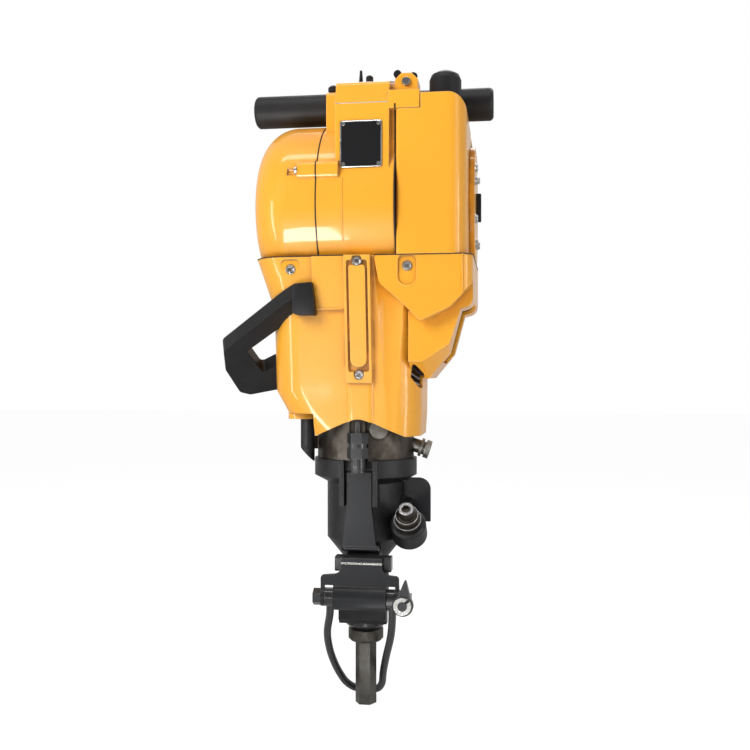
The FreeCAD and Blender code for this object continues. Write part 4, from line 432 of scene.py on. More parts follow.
blackEnamel = {"under": (0.20, 0.19, 0.18, 1), "dirtAndShadeColour": (0.05, 0.042, 0.035, 1), "edge": 0.0009,
               "wear": 0.7, "edgeShare": 0.7, "scratch": 0.8, "dirtAndShade": 0.5}
finishes = {
    # the yellow's pale cream edge colour is a painted highlight along the creases, partly thin worn paint;
    # its corner colour is painted shade
    "yellow": makePaint("orange gloss paint", {
        "colour": (0.93, 0.425, 0.032, 1), "deep": (0.90, 0.360, 0.020, 1), "under": (1.0, 0.62, 0.22, 1),
        "dirtAndShadeColour": (0.30, 0.10, 0.006, 1), "coat": 0.5, "coatRough": 0.06, "specular": 0.28, "rough": 0.34,
        "edge": 0.0020, "wear": 0.75, "edgeShare": 0.5, "scratch": 0.35, "dirtAndShade": 0.75, "peel": 0.035}),
    "black_steel": makePaint("black satin enamel", blackEnamel | {
        "colour": (0.011, 0.0115, 0.0135, 1), "deep": (0.020, 0.021, 0.024, 1), "coat": 1.0, "coatRough": 0.2,
        "specular": 0.3, "rough": 0.38, "peel": 0.16}),
    "black_plate": makePaint("black matt enamel", blackEnamel | {
        "colour": (0.012, 0.0125, 0.0145, 1), "deep": (0.02, 0.021, 0.023, 1), "coat": 0.25, "coatRough": 0.3,
        "specular": 0.22, "rough": 0.46, "peel": 0.22}),
    "plug_steel": makeMetal("scaled plug steel", {
        "colour": (0.33, 0.32, 0.29, 1), "stain": (0.19, 0.18, 0.155, 1), "bright": (0.55, 0.54, 0.50, 1),
        "rough": 0.42, "edge": 0.0006, "grainStretch": (1.0, 1.0, 1.0), "stainScale": 60.0, "bump": 0.5}),
    "casting": makeCasting("black cast iron", {
        "colour": (0.0075, 0.0077, 0.0090, 1), "tone": (0.018, 0.018, 0.020, 1),
        "dirtAndShadeColour": (0.006, 0.005, 0.004, 1), "bare": (0.15, 0.145, 0.14, 1), "metal": 0.0,
        "specular": 0.33, "rough": 0.33, "edge": 0.0015, "wear": 0.5, "edgeShare": 0.4, "grain": 1.0, "bump": 0.8,
        "film": 0.18}),
    "aluminium": makeCasting("as-cast aluminium", {
        "colour": (0.44, 0.44, 0.45, 1), "tone": (0.56, 0.56, 0.57, 1), "dirtAndShadeColour": (0.10, 0.09, 0.08, 1),
        "bare": (0.78, 0.78, 0.78, 1), "metal": 0.9, "specular": 0.5, "rough": 0.42, "edge": 0.0008,
        "wear": 0.5, "edgeShare": 0.5, "grain": 1.5, "bump": 0.4, "film": 0.2}),
    "steel": makeMetal("forged steel", {
        "colour": (0.155, 0.149, 0.135, 1), "stain": (0.08, 0.071, 0.06, 1), "bright": (0.45, 0.44, 0.41, 1),
        "rough": 0.40, "edge": 0.0006, "grainStretch": (1.0, 1.0, 0.05), "stainScale": 26.0, "bump": 0.5}),
    "machined": makeMetal("turned steel", {
        "colour": (0.112, 0.1, 0.084, 1), "stain": (0.052, 0.042, 0.035, 1), "bright": (0.50, 0.49, 0.45, 1),
        "rough": 0.38, "edge": 0.0006, "grainStretch": (0.06, 0.06, 1.0), "stainScale": 34.0, "bump": 0.45}),
    "bright": makeMetal("zinc plate", {
        "colour": (0.70, 0.70, 0.69, 1), "stain": (0.50, 0.49, 0.46, 1), "bright": (0.86, 0.86, 0.86, 1),
        "rough": 0.24, "edge": 0.0003, "grainStretch": (1.0, 1.0, 1.0), "stainScale": 90.0, "bump": 0.2}),
    "brass": makeMetal("turned brass", {
        "colour": (0.60, 0.42, 0.18, 1), "stain": (0.38, 0.25, 0.10, 1), "bright": (0.82, 0.66, 0.36, 1),
        "rough": 0.30, "edge": 0.0004, "grainStretch": (1.0, 1.0, 0.1), "stainScale": 60.0, "bump": 0.3}),
    "rubber": makeMoulded("black grip rubber", {
        "colour": (0.013, 0.0125, 0.013, 1), "tone": (0.021, 0.02, 0.021, 1), "worn": (0.05, 0.048, 0.048, 1),
        "specular": 0.30, "rough": 0.44, "edge": 0.0012, "grain": 1500.0, "bump": 0.22}),
    "plastic": makeMoulded("black moulded plastic", {
        "colour": (0.012, 0.012, 0.013, 1), "tone": (0.018, 0.018, 0.0195, 1), "worn": (0.06, 0.059, 0.06, 1),
        "specular": 0.25, "rough": 0.38, "edge": 0.0012, "grain": 2100.0, "bump": 0.16}),
    "foam": makeMoulded("filter foam", {
        "colour": (0.16, 0.16, 0.165, 1), "tone": (0.24, 0.24, 0.245, 1), "worn": (0.26, 0.26, 0.26, 1),
        "specular": 0.2, "rough": 0.8, "edge": 0.0008, "grain": 700.0, "bump": 0.9}),
    "plate": makePaint("black plate enamel", {
        "colour": (0.008, 0.008, 0.009, 1), "deep": (0.014, 0.014, 0.016, 1), "under": (0.55, 0.55, 0.53, 1),
        "dirtAndShadeColour": (0.05, 0.045, 0.04, 1), "coat": 0.2, "coatRough": 0.1, "specular": 0.3, "rough": 0.34,
        "edge": 0.0006, "wear": 0.6, "edgeShare": 0.8, "scratch": 0.9, "dirtAndShade": 0.4, "peel": 0.05}),
}
print("finishes made:", len(finishes))


# stage and light

stage = {"floorSide": 9.0, "floorHeight": cadBox[0].z - 0.5 * mm, "white": (0.93, 0.93, 0.93, 1),
         "floorRough": 0.9, "glow": 0.76, "glowStrength": 1.16, "mirrored": 0.5, "worldFront": 0.15,
         "worldBack": 0.60, "worldSpan": (-0.9, 0.5)}


def makeStage():
    # the camera sees most of the floor's own light over its surface, and reflections see the floor dimmer
    mesh = bpy.data.meshes.new("floor")
    half, low = stage["floorSide"], stage["floorHeight"]
    mesh.from_pydata([(-half, -half, low), (half, -half, low), (half, half, low), (-half, half, low)], [],
                     [(0, 1, 2, 3)])
    floor = bpy.data.objects.new("floor", mesh)
    bpy.context.scene.collection.objects.link(floor)
    material = bpy.data.materials.new("pale floor")
    material.use_nodes = True
    tree = material.node_tree
    surface = tree.nodes["Principled BSDF"]
    surface.inputs["Base Color"].default_value = stage["white"]
    surface.inputs["Roughness"].default_value = stage["floorRough"]
    glow = addNode(tree, "ShaderNodeEmission", None, Color=(1, 1, 1, 1), Strength=stage["glowStrength"])
    rays = tree.nodes.new("ShaderNodeLightPath")
    seen = maths(tree, "MAXIMUM", rays.outputs["Is Camera Ray"], rays.outputs["Is Transmission Ray"])
    blend = addNode(tree, "ShaderNodeMixShader", None, i0=times(tree, seen, stage["glow"]),
                    i1=surface.outputs[0], i2=glow.outputs[0])
    dim = addNode(tree, "ShaderNodeEmission", None, Color=(1, 1, 1, 1), Strength=stage["mirrored"])
    blend = addNode(tree, "ShaderNodeMixShader", None, i0=rays.outputs["Is Glossy Ray"], i1=blend.outputs[0],
                    i2=dim.outputs[0])
    tree.links.new(blend.outputs[0], tree.nodes["Material Output"].inputs["Surface"])
    mesh.materials.append(material)


def makeWorld():
    # white for the camera, else pale and darker on the side that the camera looks from
    world = bpy.data.worlds.new("studio")
    bpy.context.scene.world = world
    world.use_nodes = True
    tree = world.node_tree
    rays = tree.nodes.new("ShaderNodeLightPath")
    seen = maths(tree, "MAXIMUM", rays.outputs["Is Camera Ray"], rays.outputs["Is Transmission Ray"])
    direction = addNode(tree, "ShaderNodeSeparateXYZ", None,
                        i0=tree.nodes.new("ShaderNodeTexCoord").outputs["Generated"])
    level = spread(tree, direction.outputs["Y"], *stage["worldSpan"], stage["worldFront"], stage["worldBack"])
    tree.links.new(maths(tree, "MAXIMUM", level, seen), tree.nodes["Background"].inputs["Strength"])
    tree.nodes["Background"].inputs["Color"].default_value = (1, 1, 1, 1)


softboxes = {  # place in mm, aimed at a point in mm, width and height in mm, power in watts, turn in degrees
    "keyLeft": {"at": (-800, -1300, 1150), "aim": (0, 0, 380), "size": (900, 900), "power": 23.5,
                "shows": False},
    "fillRight": {"at": (1500, -900, 500), "aim": (0, 0, 350), "size": (700, 1200), "power": 5.0},
    "floorCard": {"at": (-300, -850, 12), "aim": (-300, -849, 400), "size": (250, 560), "power": 10.6,
                  "turn": -12.8, "lights": False},
    "topStrip": {"at": (0, -360, 1450), "aim": (0, 0, 250), "size": (1100, 130), "power": 4.0,
                 "lights": False},
    "leftStrip": {"at": (-900, -620, 160), "aim": (0, 0, 150), "size": (110, 1000), "power": 4.0,
                  "lights": False},
    "rightStrip": {"at": (1000, -420, 200), "aim": (0, 0, 200), "size": (110, 1000), "power": 3.0,
                   "lights": False},
    "rodStrip": {"at": (30, -400, -84), "aim": (30, -399, 400), "size": (36, 620), "power": 0.3, "turn": 4.3,
                 "lights": False},
    "lowCard": {"at": (300, -1150, -40), "aim": (0, 0, 200), "size": (200, 60), "power": 0.8},
    "topBack": {"at": (200, 900, 1500), "aim": (0, 0, 400), "size": (1200, 600), "power": 9.0},
}


def makeLights():
    for name, box in softboxes.items():
        lamp = bpy.data.lights.new(name, "AREA")
        lamp.shape = "RECTANGLE"
        lamp.size, lamp.size_y = box["size"][0] * mm, box["size"][1] * mm
        lamp.energy = box["power"]
        lampObject = bpy.data.objects.new(name, lamp)
        bpy.context.scene.collection.objects.link(lampObject)
        lampObject.visible_camera = False
        lampObject.visible_glossy = box.get("shows", True)
        lampObject.visible_diffuse = box.get("lights", True)
        lampObject.location = place(*box["at"])
        lampObject.rotation_mode = "QUATERNION"
        lampObject.rotation_quaternion = (place(*box["aim"]) - place(*box["at"])).to_track_quat("-Z", "Y")
        turn = Quaternion((0.0, 0.0, 1.0), math.radians(box.get("turn", 0.0)))
        lampObject.rotation_quaternion = turn @ lampObject.rotation_quaternion


makeStage()
makeWorld()
makeLights()
print("stage and light set")


# pieces: seating, and what a mesh needs before it is shown

def bodyOf(node):
    return nodes[node]["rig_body"]


def linkPiece(name, mesh):
    piece = bpy.data.objects.new(name, mesh)
    bpy.context.scene.collection.objects.link(piece)
    return piece


def smoothFaces(mesh, limit):
    for face in mesh.polygons:
        face.use_smooth = True
    mesh.set_sharp_from_angle(angle=math.radians(limit))


def seat(piece, node):
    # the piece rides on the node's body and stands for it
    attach(piece, bodyOf(node))
    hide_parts(node)
    return piece


weld = 0.002  # mm, within which corners are one


def mergedMesh(node, flatness=0.0):
    # flatness is the angle in degrees below which faces are joined
    builder = bmesh.new()
    builder.from_mesh(nodes[node].data)
    bmesh.ops.remove_doubles(builder, verts=builder.verts, dist=weld * mm)
    if flatness:
        bmesh.ops.dissolve_limit(builder, angle_limit=math.radians(flatness), verts=builder.verts,
                                 edges=builder.edges)
    return builder


edgeLook = {"flatness": 0.4, "segments": 3, "limit": 32.0, "weight": 90}  # angles in degrees
edgeWidths = {  # mm
    "front_head": 1.2, "leaf_spring": 0.8, "clamping_stud": 0.8, "hinge_bolt": 1.0, "retainer_bracket": 1.0,
    "bail_pivot_bolt": 0.8, "latch_lever": 0.8, "lock_washer": 0.4, "selector_cover": 1.0,
    "throttle_box": 1.2, "throttle_lever": 0.8, "side_cover": 1.4, "side_cover_bar": 1.0,
    "air_filter_housing": 3.0, "name_plate": 0.3, "centre_housing": 1.6, "fuel_tank": 2.0,
    "carry_handle": 3.2, "chuck_sleeve": 0.5, "cylinder": 0.5, "drill_steel": 0.5, "side_plug": 0.6,
    "disc_plug": 0.6, "selector_spindle": 0.4, "selector_body": 1.0, "fuel_cap": 1.2, "left_grip": 1.5,
    "right_grip": 1.5, "front_shroud": 1.4, "rear_shroud": 1.4, "starter_cover": 1.0, "blow_tube": 0.5,
    "muffler": 1.0, "stop_switch": 0.4, "primer_button": 0.5, "starter_handle": 0.6, "throttle_screw": 0.4,
    "bail": 0.4,
}
quieter = {"leaf_spring": "black_plate", "retainer_bracket": "black_plate", "selector_cover": "black_plate",
           "disc_plug": "plug_steel", "side_plug": "plug_steel"}  # varieties of their slot's finish


def brokenEdges(node, width):
    mesh = bpy.data.meshes.new(node + "_piece")
    builder = mergedMesh(node, edgeLook["flatness"])
    builder.to_mesh(mesh)
    builder.free()
    smoothFaces(mesh, edgeLook["limit"])
    mesh.materials.clear()
    mesh.materials.append(finishes[quieter.get(node, slotOf[node])])
    piece = linkPiece(node + "_piece", mesh)
    edge = piece.modifiers.new("broken edge", "BEVEL")
    edge.width = width * mm
    edge.segments = edgeLook["segments"]
    edge.limit_method = "ANGLE"
    edge.angle_limit = math.radians(edgeLook["limit"])
    edge.use_clamp_overlap = True
    flats = piece.modifiers.new("flat faces", "WEIGHTED_NORMAL")
    flats.weight = edgeLook["weight"]
    flats.keep_sharp = True
    return seat(piece, node)


for node, width in edgeWidths.items():
    brokenEdges(node, width)
print("edges broken:", len(edgeWidths))


# what repeats or follows a line: screws, threads, beads

def shapeTree(name, inputs):
    tree, entry, leave = newTree(name, "GeometryNodeTree",
                                 [("Places", "NodeSocketGeometry", None)] + inputs +
                                 [("Finish", "NodeSocketMaterial", None)], [("Shape", "NodeSocketGeometry")])
    return tree, entry.outputs, leave


def endTree(tree, entry, leave, shape, onPlaces=True):
    # the shape stands on every place, its Z along the place's own direction
    if onPlaces:
        facing = addNode(tree, "GeometryNodeInputNamedAttribute", {"data_type": "FLOAT_VECTOR"},
                         Name="facing")
        turned = addNode(tree, "FunctionNodeAlignRotationToVector", {"axis": "Z"}, Vector=facing.outputs[0])
        points = addNode(tree, "GeometryNodeMeshToPoints", None, Mesh=entry["Places"])
        shape = addNode(tree, "GeometryNodeInstanceOnPoints", None, Points=points.outputs[0], Instance=shape,
                        Rotation=turned.outputs[0]).outputs[0]
    real = addNode(tree, "GeometryNodeRealizeInstances", None, Geometry=shape)
    painted = addNode(tree, "GeometryNodeSetMaterial", None, Geometry=real.outputs[0],
                      Material=entry["Finish"])
    tree.links.new(painted.outputs[0], leave.inputs[0])
    return tree


def frustum(tree, sides, foot, top, depth, level=0.0):
    solid = addNode(tree, "GeometryNodeMeshCone", None, Vertices=sides, Radius_Top=top, Radius_Bottom=foot,
                    Depth=depth)
    lift = addNode(tree, "ShaderNodeCombineXYZ", None, Z=level)
    return addNode(tree, "GeometryNodeTransform", None, Geometry=solid.outputs["Mesh"],
                   Translation=lift.outputs[0]).outputs[0]


def joined(tree, shapes):
    node = tree.nodes.new("GeometryNodeJoinGeometry")
    for shape in shapes:
        tree.links.new(shape, node.inputs[0])
    return node.outputs[0]


casingScrews = {"Head Radius": 4.6 * mm, "Head Height": 3.4 * mm, "Chamfer": 1.0 * mm,
                "Socket Radius": 2.2 * mm, "Socket Depth": 1.8 * mm, "Washer Radius": 5.8 * mm,
                "Washer Height": 0.8 * mm}
screwShape = {"sides": 32, "socketSides": 6, "socketCut": 10.0, "washerTaper": 0.4}  # socketCut in mm


def makeScrewTree():
    tree, entry, leave = shapeTree("socket screw", [(label, "NodeSocketFloat", size)
                                                    for label, size in casingScrews.items()])
    sides = screwShape["sides"]
    wall = maths(tree, "SUBTRACT", entry["Head Height"], entry["Chamfer"])
    head = frustum(tree, sides, entry["Head Radius"], entry["Head Radius"], wall)
    rim = maths(tree, "SUBTRACT", entry["Head Radius"], entry["Chamfer"])
    crown = frustum(tree, sides, entry["Head Radius"], rim, entry["Chamfer"], wall)
    floor = maths(tree, "SUBTRACT", entry["Head Height"], entry["Socket Depth"])
    key = frustum(tree, screwShape["socketSides"], entry["Socket Radius"], entry["Socket Radius"],
                  screwShape["socketCut"] * mm, floor)
    solid = addNode(tree, "GeometryNodeMeshBoolean", {"operation": "UNION"})
    for part in (head, crown):
        tree.links.new(part, solid.inputs["Mesh 2"])
    cut = addNode(tree, "GeometryNodeMeshBoolean", {"operation": "DIFFERENCE"})
    tree.links.new(solid.outputs[0], cut.inputs["Mesh 1"])
    tree.links.new(key, cut.inputs["Mesh 2"])
    taper = times(tree, entry["Washer Height"], screwShape["washerTaper"])
    narrow = maths(tree, "SUBTRACT", entry["Washer Radius"], taper)
    washer = frustum(tree, sides, entry["Washer Radius"], narrow, entry["Washer Height"])
    return endTree(tree, entry, leave, joined(tree, [cut.outputs[0], washer]))


threadShape = {"steps": 28, "ridgeSides": 4}


def makeThreadTree():
    tree, entry, leave = shapeTree("screw thread", [(label, "NodeSocketFloat", None)
                                                    for label in ("Radius", "Pitch", "Turns", "Depth")])
    rise = times(tree, entry["Pitch"], entry["Turns"])
    helix = addNode(tree, "GeometryNodeCurveSpiral", None, Resolution=threadShape["steps"],
                    Rotations=entry["Turns"], Start_Radius=entry["Radius"], End_Radius=entry["Radius"],
                    Height=rise)
    ridge = addNode(tree, "GeometryNodeCurvePrimitiveCircle", {"mode": "RADIUS"},
                    Resolution=threadShape["ridgeSides"], Radius=entry["Depth"])
    solid = addNode(tree, "GeometryNodeCurveToMesh", None, Curve=helix.outputs[0],
                    Profile_Curve=ridge.outputs[0], Fill_Caps=True)
    return endTree(tree, entry, leave, solid.outputs[0])


beadSides = {"gasket": 6, "rim": 8, "edge": 12, "pin": 16, "roll": 24}


def makeBeadTree():
    # a round bead along the edges of a line, closed where the line closes
    tree, entry, leave = shapeTree("bead", [("Radius", "NodeSocketFloat", None),
                                            ("Sides", "NodeSocketInt", None)])
    line = addNode(tree, "GeometryNodeMeshToCurve", None, Mesh=entry["Places"])
    ring = addNode(tree, "GeometryNodeCurvePrimitiveCircle", {"mode": "RADIUS"}, Resolution=entry["Sides"],
                   Radius=entry["Radius"])
    solid = addNode(tree, "GeometryNodeCurveToMesh", None, Curve=line.outputs[0],
                    Profile_Curve=ring.outputs[0], Fill_Caps=True)
    return endTree(tree, entry, leave, solid.outputs[0], onPlaces=False)


screwTree, threadTree, beadTree = makeScrewTree(), makeThreadTree(), makeBeadTree()


def placesMesh(name, rows):
    # one point for each place, with the way that it faces
    mesh = bpy.data.meshes.new(name)
    mesh.from_pydata([point for point, way in rows], [], [])
    facing = mesh.attributes.new("facing", "FLOAT_VECTOR", "POINT")
    for index, (point, way) in enumerate(rows):
        facing.data[index].vector = way
    return mesh


def linesMesh(name, lines):
    # lines of points in metres, each with the pairs of points that its edges join
    points, edges = [], []
    for some, links in lines:
        first = len(points)
        points += some
        edges += [(first + start, first + end) for start, end in links]
    mesh = bpy.data.meshes.new(name)
    mesh.from_pydata(points, edges, [])
    return mesh


def openLine(points):
    # a line through points in mm
    return [place(*point) for point in points], [(index, index + 1) for index in range(len(points) - 1)]


def closedLine(points):
    placed, links = openLine(points)
    return placed, links + [(len(points) - 1, 0)]


def growShape(name, mesh, tree, values, slot, body, limit=35.0, replaced=()):
    source = linkPiece(name + "Source", mesh)
    grower = source.modifiers.new("shape", "NODES")
    grower.node_group = tree
    for item in tree.interface.items_tree:
        if item.in_out == "INPUT" and item.name in values:
            grower[item.identifier] = values[item.name]
        if item.in_out == "INPUT" and item.name == "Finish":
            grower[item.identifier] = finishes[slot]
    source.update_tag()
    bpy.context.view_layer.update()
    grown = bpy.data.meshes.new_from_object(source.evaluated_get(bpy.context.evaluated_depsgraph_get()))
    source.modifiers.remove(grower)
    bpy.data.objects.remove(source)
    grown.name = name
    smoothFaces(grown, limit)
    piece = linkPiece(name, grown)
    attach(piece, body)
    if replaced:
        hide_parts(*replaced)
    return piece


def layBead(name, lines, radius, sides, slot, node):
    # a bead along lines on a node, riding with it
    growShape(name, linesMesh(name + "Line", lines), beadTree, {"Radius": radius * mm, "Sides": sides}, slot,
              bodyOf(node))


def within(x=(-math.inf, math.inf), y=(-math.inf, math.inf), z=(-math.inf, math.inf)):
    # a test for points in mm between these limits
    return lambda point: x[0] < point.x < x[1] and y[0] < point.y < y[1] and z[0] < point.z < z[1]


sectionDigits = 5  # of a metre, within which the ends of cut edges meet


def sectionLine(node, at, way, keep=None, inner=False, shift=(0, 0, 0)):
    # outline of a node where a plane in mm cuts it, as a rule without the walls that face inwards
    builder = mergedMesh(node)
    middle = sum((vertex.co for vertex in builder.verts), Vector()) / len(builder.verts)
    cut = bmesh.ops.bisect_plane(builder, geom=builder.verts[:] + builder.edges[:] + builder.faces[:],
                                 plane_co=place(*at), plane_no=way)["geom_cut"]
    points, rows, edges = [], {}, set()
    for edge in cut:
        if not isinstance(edge, bmesh.types.BMEdge) or not edge.link_faces:
            continue
        normal = sum((face.normal for face in edge.link_faces), Vector())
        ends = [vertex.co for vertex in edge.verts]
        inwards = normal.dot((ends[0] + ends[1]) / 2 - middle) <= 0
        if inwards and not inner or keep and not keep((ends[0] + ends[1]) / 2 / mm):
            continue
        keys = [tuple(round(value, sectionDigits) for value in end) for end in ends]
        for key, end in zip(keys, ends):
            if key not in rows:
                rows[key] = len(points)
                points.append(end + place(*shift))
        if keys[0] != keys[1]:
            edges.add(tuple(sorted(rows[key] for key in keys)))
    builder.free()
    return points, sorted(edges)


def looseSolids(node):
    # corner points of each separate solid of a node
    builder = mergedMesh(node)
    found, groups = set(), []
    for first in builder.verts:
        if first in found:
            continue
        found.add(first)
        queue, group = [first], []
        while queue:
            vertex = queue.pop()
            group.append(vertex.co.copy())
            fresh = {edge.other_vert(vertex) for edge in vertex.link_edges} - found
            found |= fresh
            queue += fresh
        groups.append(group)
    builder.free()
    return groups


headShare = 0.85  # of a screw's radius, beyond which a point is on its head


def screwSeat(points, headHeight):
    # a screw is shortest along its axis, and its head is on the side with most of the wide points
    low = Vector([min(point[axis] for point in points) for axis in range(3)])
    high = Vector([max(point[axis] for point in points) for axis in range(3)])
    spans = high - low
    axis = min(range(3), key=lambda index: spans[index])
    middle = (low + high) / 2
    reach = headShare * max(spans) / 2
    sides = [index for index in range(3) if index != axis]
    wide = [point for point in points if math.hypot(*(point[side] - middle[side] for side in sides)) > reach]
    outward = 1.0 if sum(point[axis] for point in wide) / len(wide) > middle[axis] else -1.0
    way = Vector([outward if index == axis else 0.0 for index in range(3)])
    seatPoint = middle.copy()
    seatPoint[axis] = (high if outward > 0 else low)[axis] - outward * headHeight
    return seatPoint, way


screwPlaces = [screwSeat(points, casingScrews["Head Height"]) for points in looseSolids("casing_screws")]
growShape("casing_screw_heads", placesMesh("screwPlaces", screwPlaces), screwTree, casingScrews, "bright",
          bodyOf("casing_screws"), replaced=("casing_screws",))
print("casing screws:", len(screwPlaces))

studThreads = {  # place in mm, then what the thread is grown from
    "stud_thread": ((0, -63, 236), {"Radius": 3.5 * mm, "Pitch": 1.25 * mm, "Turns": 9.0,
                                    "Depth": 0.45 * mm}),
    "stud_foot_thread": ((0, -63, 190.5), {"Radius": 8.4 * mm, "Pitch": 1.75 * mm, "Turns": 8.0,
                                           "Depth": 0.6 * mm}),
}
for name, (at, values) in studThreads.items():
    growShape(name, placesMesh(name + "Place", [(place(*at), (0, 0, 1))]), threadTree, values, "black_steel",
              bodyOf("clamping_stud"), limit=60.0)
print("threads cut:", len(studThreads))


# bright rim of the name plate

plateRim = {"inset": 0.9, "radius": 0.75, "corner": 2.4, "steps": 5}


def roundedFrame(low, high, inset, corner, steps):
    # a frame in the plane of X and Z, set in from two corners, with its own corners rounded
    left, right = low.x + inset + corner, high.x - inset - corner
    foot, head = low.z + inset + corner, high.z - inset - corner
    points = []
    for quarter, (x, z) in enumerate(((right, head), (left, head), (left, foot), (right, foot))):
        for step in range(steps + 1):
            angle = math.radians(90 * quarter + 90 * step / steps)
            points.append((x + corner * math.cos(angle), low.y, z + corner * math.sin(angle)))
    return points


plateLow, plateHigh = (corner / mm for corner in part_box("name_plate"))
rimPoints = roundedFrame(plateLow, plateHigh, plateRim["inset"], plateRim["corner"], plateRim["steps"])
layBead("plate_rim", [closedLine(rimPoints)], plateRim["radius"], beadSides["rim"], "bright", "name_plate")
print("name plate framed")


# dark gaskets in the joints of the casing, not across the channel's head nor up under the throttle

channelHead = within(x=(-14, 23), y=(-math.inf, -60), z=(-math.inf, 440))
underThrottle = within(z=(-math.inf, 596))
gaskets = {
    "starter_gasket": {"node": "centre_housing", "at": (-40.6, 0, 520), "way": (1, 0, 0),
                       "shift": (-0.4, 0, 0), "radius": 0.75},
    "tank_gasket": {"node": "centre_housing", "at": (44.8, 0, 520), "way": (1, 0, 0), "shift": (1.6, 0, 0),
                    "radius": 0.9},
    "hem_gasket": {"node": "front_shroud", "at": (0, 0, 431.6), "way": (0, 0, 1), "shift": (0, 0, 0.6),
                   "radius": 0.65},
    "rear_hem_gasket": {"node": "rear_shroud", "at": (0, 0, 431.6), "way": (0, 0, 1), "shift": (0, 0, 0.6),
                        "radius": 0.65},
}


def gasketRun(point):
    return underThrottle(point) and not channelHead(point)


for name, gasket in gaskets.items():
    outline = sectionLine(gasket["node"], gasket["at"], gasket["way"], gasketRun, shift=gasket["shift"])
    layBead(name, [outline], gasket["radius"], beadSides["gasket"], "rubber", gasket["node"])
print("gaskets laid:", len(gaskets))


# louvre blades

blades = {"count": 5, "left": 57.0, "low": 289.9, "pitch": 7.2, "way": (0.8, 0.0, 1.0), "radius": 0.8}
bladeLines = [sectionLine("louvre_grille", (blades["left"], 0, blades["low"] + blades["pitch"] * index),
                          blades["way"]) for index in range(blades["count"])]
layBead("louvre_blades", bladeLines, blades["radius"], beadSides["rim"], "aluminium", "louvre_grille")
print("louvre blades set:", len(bladeLines))


# selector: worn rims on its steps and a bright end face round the socket

selector = {"at": (55.5, -35.0, 122.0), "way": (0.0, -0.766044, 0.642788), "foot": 15.0,
            "rims": ((15.1, 7.0), (12.6, 16.0)), "rimRadius": 0.6, "face": (6.6, 27.6), "faceBead": 2.0,
            "steps": 48}  # a rim and the face are a radius and a height above the foot


def selectorRing(radius, rise):
    # a ring round the selector's axis
    way = Vector(selector["way"])
    turn = way.to_track_quat("Z", "Y")
    middle = Vector(selector["at"]) + way * (selector["foot"] + rise)
    angles = [math.tau * step / selector["steps"] for step in range(selector["steps"])]
    return closedLine([middle + turn @ Vector((radius * math.cos(angle), radius * math.sin(angle), 0))
                       for angle in angles])


layBead("selector_rims", [selectorRing(*rim) for rim in selector["rims"]], selector["rimRadius"],
        beadSides["rim"], "aluminium", "selector_spindle")
layBead("selector_face", [selectorRing(*selector["face"])], selector["faceBead"], beadSides["edge"],
        "aluminium", "selector_spindle")
print("selector dressed")


# retainer: bright bead across the front of its plate

pinLine = {"left": -19.0, "right": 28.0, "front": -63.5, "height": 86.0, "radius": 1.5}
layBead("bracket_pin", [openLine([(pinLine[side], pinLine["front"], pinLine["height"])
                                  for side in ("left", "right")])],
        pinLine["radius"], beadSides["pin"], "bright", "retainer_bracket")
print("bracket pin laid")


# shroud: rolled edges that catch the light round the filter bulge, the duct and the left step

rolledEdges = {
    "bulge_edge": {"depth": -94.2, "run": within(x=(20, math.inf), z=(-math.inf, 430)), "radius": 1.1},
    "duct_edge": {"depth": -77.2, "run": within(x=(58, math.inf), z=(300, 372)), "radius": 1.0},
}
for name, edge in rolledEdges.items():
    outline = sectionLine("front_shroud", (0, edge["depth"], 0), (0, 1, 0), edge["run"], inner=True)
    layBead(name, [outline], edge["radius"], beadSides["edge"], "yellow", "front_shroud")
stepEdge = {"line": [(-43.5, -88.4, 373.6), (-12.0, -88.4, 373.6)], "radius": 1.0}
layBead("step_edge", [openLine(stepEdge["line"])], stepEdge["radius"], beadSides["edge"], "yellow",
        "front_shroud")
print("shroud edges rolled:", len(rolledEdges) + 1)


# housing: seam across the block's head and the edge of the raised panel under the plate

housingLines = {
    "block_seam": {"at": (0, 0, 599.4), "way": (0, 0, 1), "run": within(x=(-37, 14), y=(-math.inf, -80)),
                   "radius": 0.45, "finish": "aluminium"},
    "panel_edge": {"at": (-11.6, 0, 480), "way": (1, 0, 0), "run": within(y=(-math.inf, -60), z=(450, 515)),
                   "radius": 0.9, "finish": "yellow"},
}
for name, line in housingLines.items():
    outline = sectionLine("centre_housing", line["at"], line["way"], line["run"])
    layBead(name, [outline], line["radius"], beadSides["edge"], line["finish"], "centre_housing")
print("housing lines:", len(housingLines))


# leaf spring: rolled lower end

springRoll = {"left": -17.5, "right": 23.0, "inset": 1.6, "rise": 3.4, "radius": 3.2}
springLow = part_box("leaf_spring")[0] / mm
layBead("spring_roll", [openLine([(springRoll[side], springLow.y + springRoll["inset"],
                                   springLow.z + springRoll["rise"]) for side in ("left", "right")])],
        springRoll["radius"], beadSides["roll"], "black_steel", "leaf_spring")
print("spring end rolled")


# ribs on the rear shroud and on the filter housing

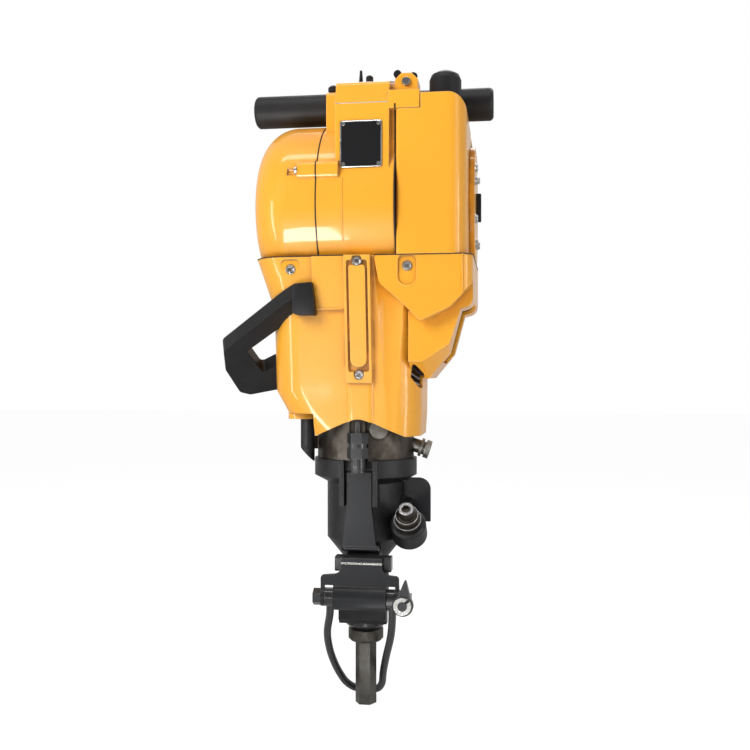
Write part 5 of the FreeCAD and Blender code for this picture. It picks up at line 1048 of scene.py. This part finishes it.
rearRibs = {"sides": (-24.0, 0.0, 24.0), "run": within(y=(40, math.inf), z=(262, 416)), "radius": 1.6}
layBead("rear_ribs", [sectionLine("rear_shroud", (side, 0, 0), (1, 0, 0), rearRibs["run"])
                      for side in rearRibs["sides"]],
        rearRibs["radius"], beadSides["edge"], "yellow", "rear_shroud")
filterRibs = {"count": 5, "first": 14.0, "pitch": 12.0, "foot": 22.0, "head": 16.0, "sunk": 0.3,
              "radius": 1.5}
filterLow, filterHigh = (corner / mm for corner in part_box("air_filter_housing"))
filterLines = []
for index in range(filterRibs["count"]):
    side = filterLow.x + filterRibs["first"] + filterRibs["pitch"] * index
    back = filterHigh.y - filterRibs["sunk"]
    filterLines.append(openLine([(side, back, filterLow.z + filterRibs["foot"]),
                                 (side, back, filterHigh.z - filterRibs["head"])]))
layBead("filter_ribs", filterLines, filterRibs["radius"], beadSides["edge"], "yellow", "air_filter_housing")
print("ribs laid:", len(rearRibs["sides"]) + filterRibs["count"])


# carry handle: square root where its upper arm meets the shroud

handleRoot = {"outline": [(-68.0, 397.0), (-62.6, 401.5), (-45.8, 402.9), (-43.5, 386.0), (-42.8, 366.3),
                          (-61.4, 366.2), (-68.0, 368.5)],
              "front": -101.0, "back": -84.0, "round": 1.2, "segments": 3, "profile": 0.5}


def makeHandleRoot():
    builder = bmesh.new()
    corners = [builder.verts.new(place(x, handleRoot["front"], z)) for x, z in handleRoot["outline"]]
    face = builder.faces.new(corners)
    grown = bmesh.ops.extrude_face_region(builder, geom=[face])["geom"]
    back = place(0, handleRoot["back"] - handleRoot["front"], 0)
    moved = [item for item in grown if isinstance(item, bmesh.types.BMVert)]
    bmesh.ops.translate(builder, vec=back, verts=moved)
    bmesh.ops.recalc_face_normals(builder, faces=builder.faces)
    bmesh.ops.bevel(builder, geom=builder.edges[:], offset=handleRoot["round"] * mm,
                    segments=handleRoot["segments"], profile=handleRoot["profile"], affect="EDGES")
    mesh = bpy.data.meshes.new("handle_root")
    builder.to_mesh(mesh)
    builder.free()
    smoothFaces(mesh, edgeLook["limit"])
    mesh.materials.append(finishes["plastic"])
    root = linkPiece("handle_root", mesh)
    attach(root, bodyOf("carry_handle"))


makeHandleRoot()
print("handle root set")


# the rest keeps its solid and gets its finish

for node, piece in nodes.items():
    if not piece.hide_render:
        piece.data.materials.clear()
        piece.data.materials.append(finishes[slotOf[node]])
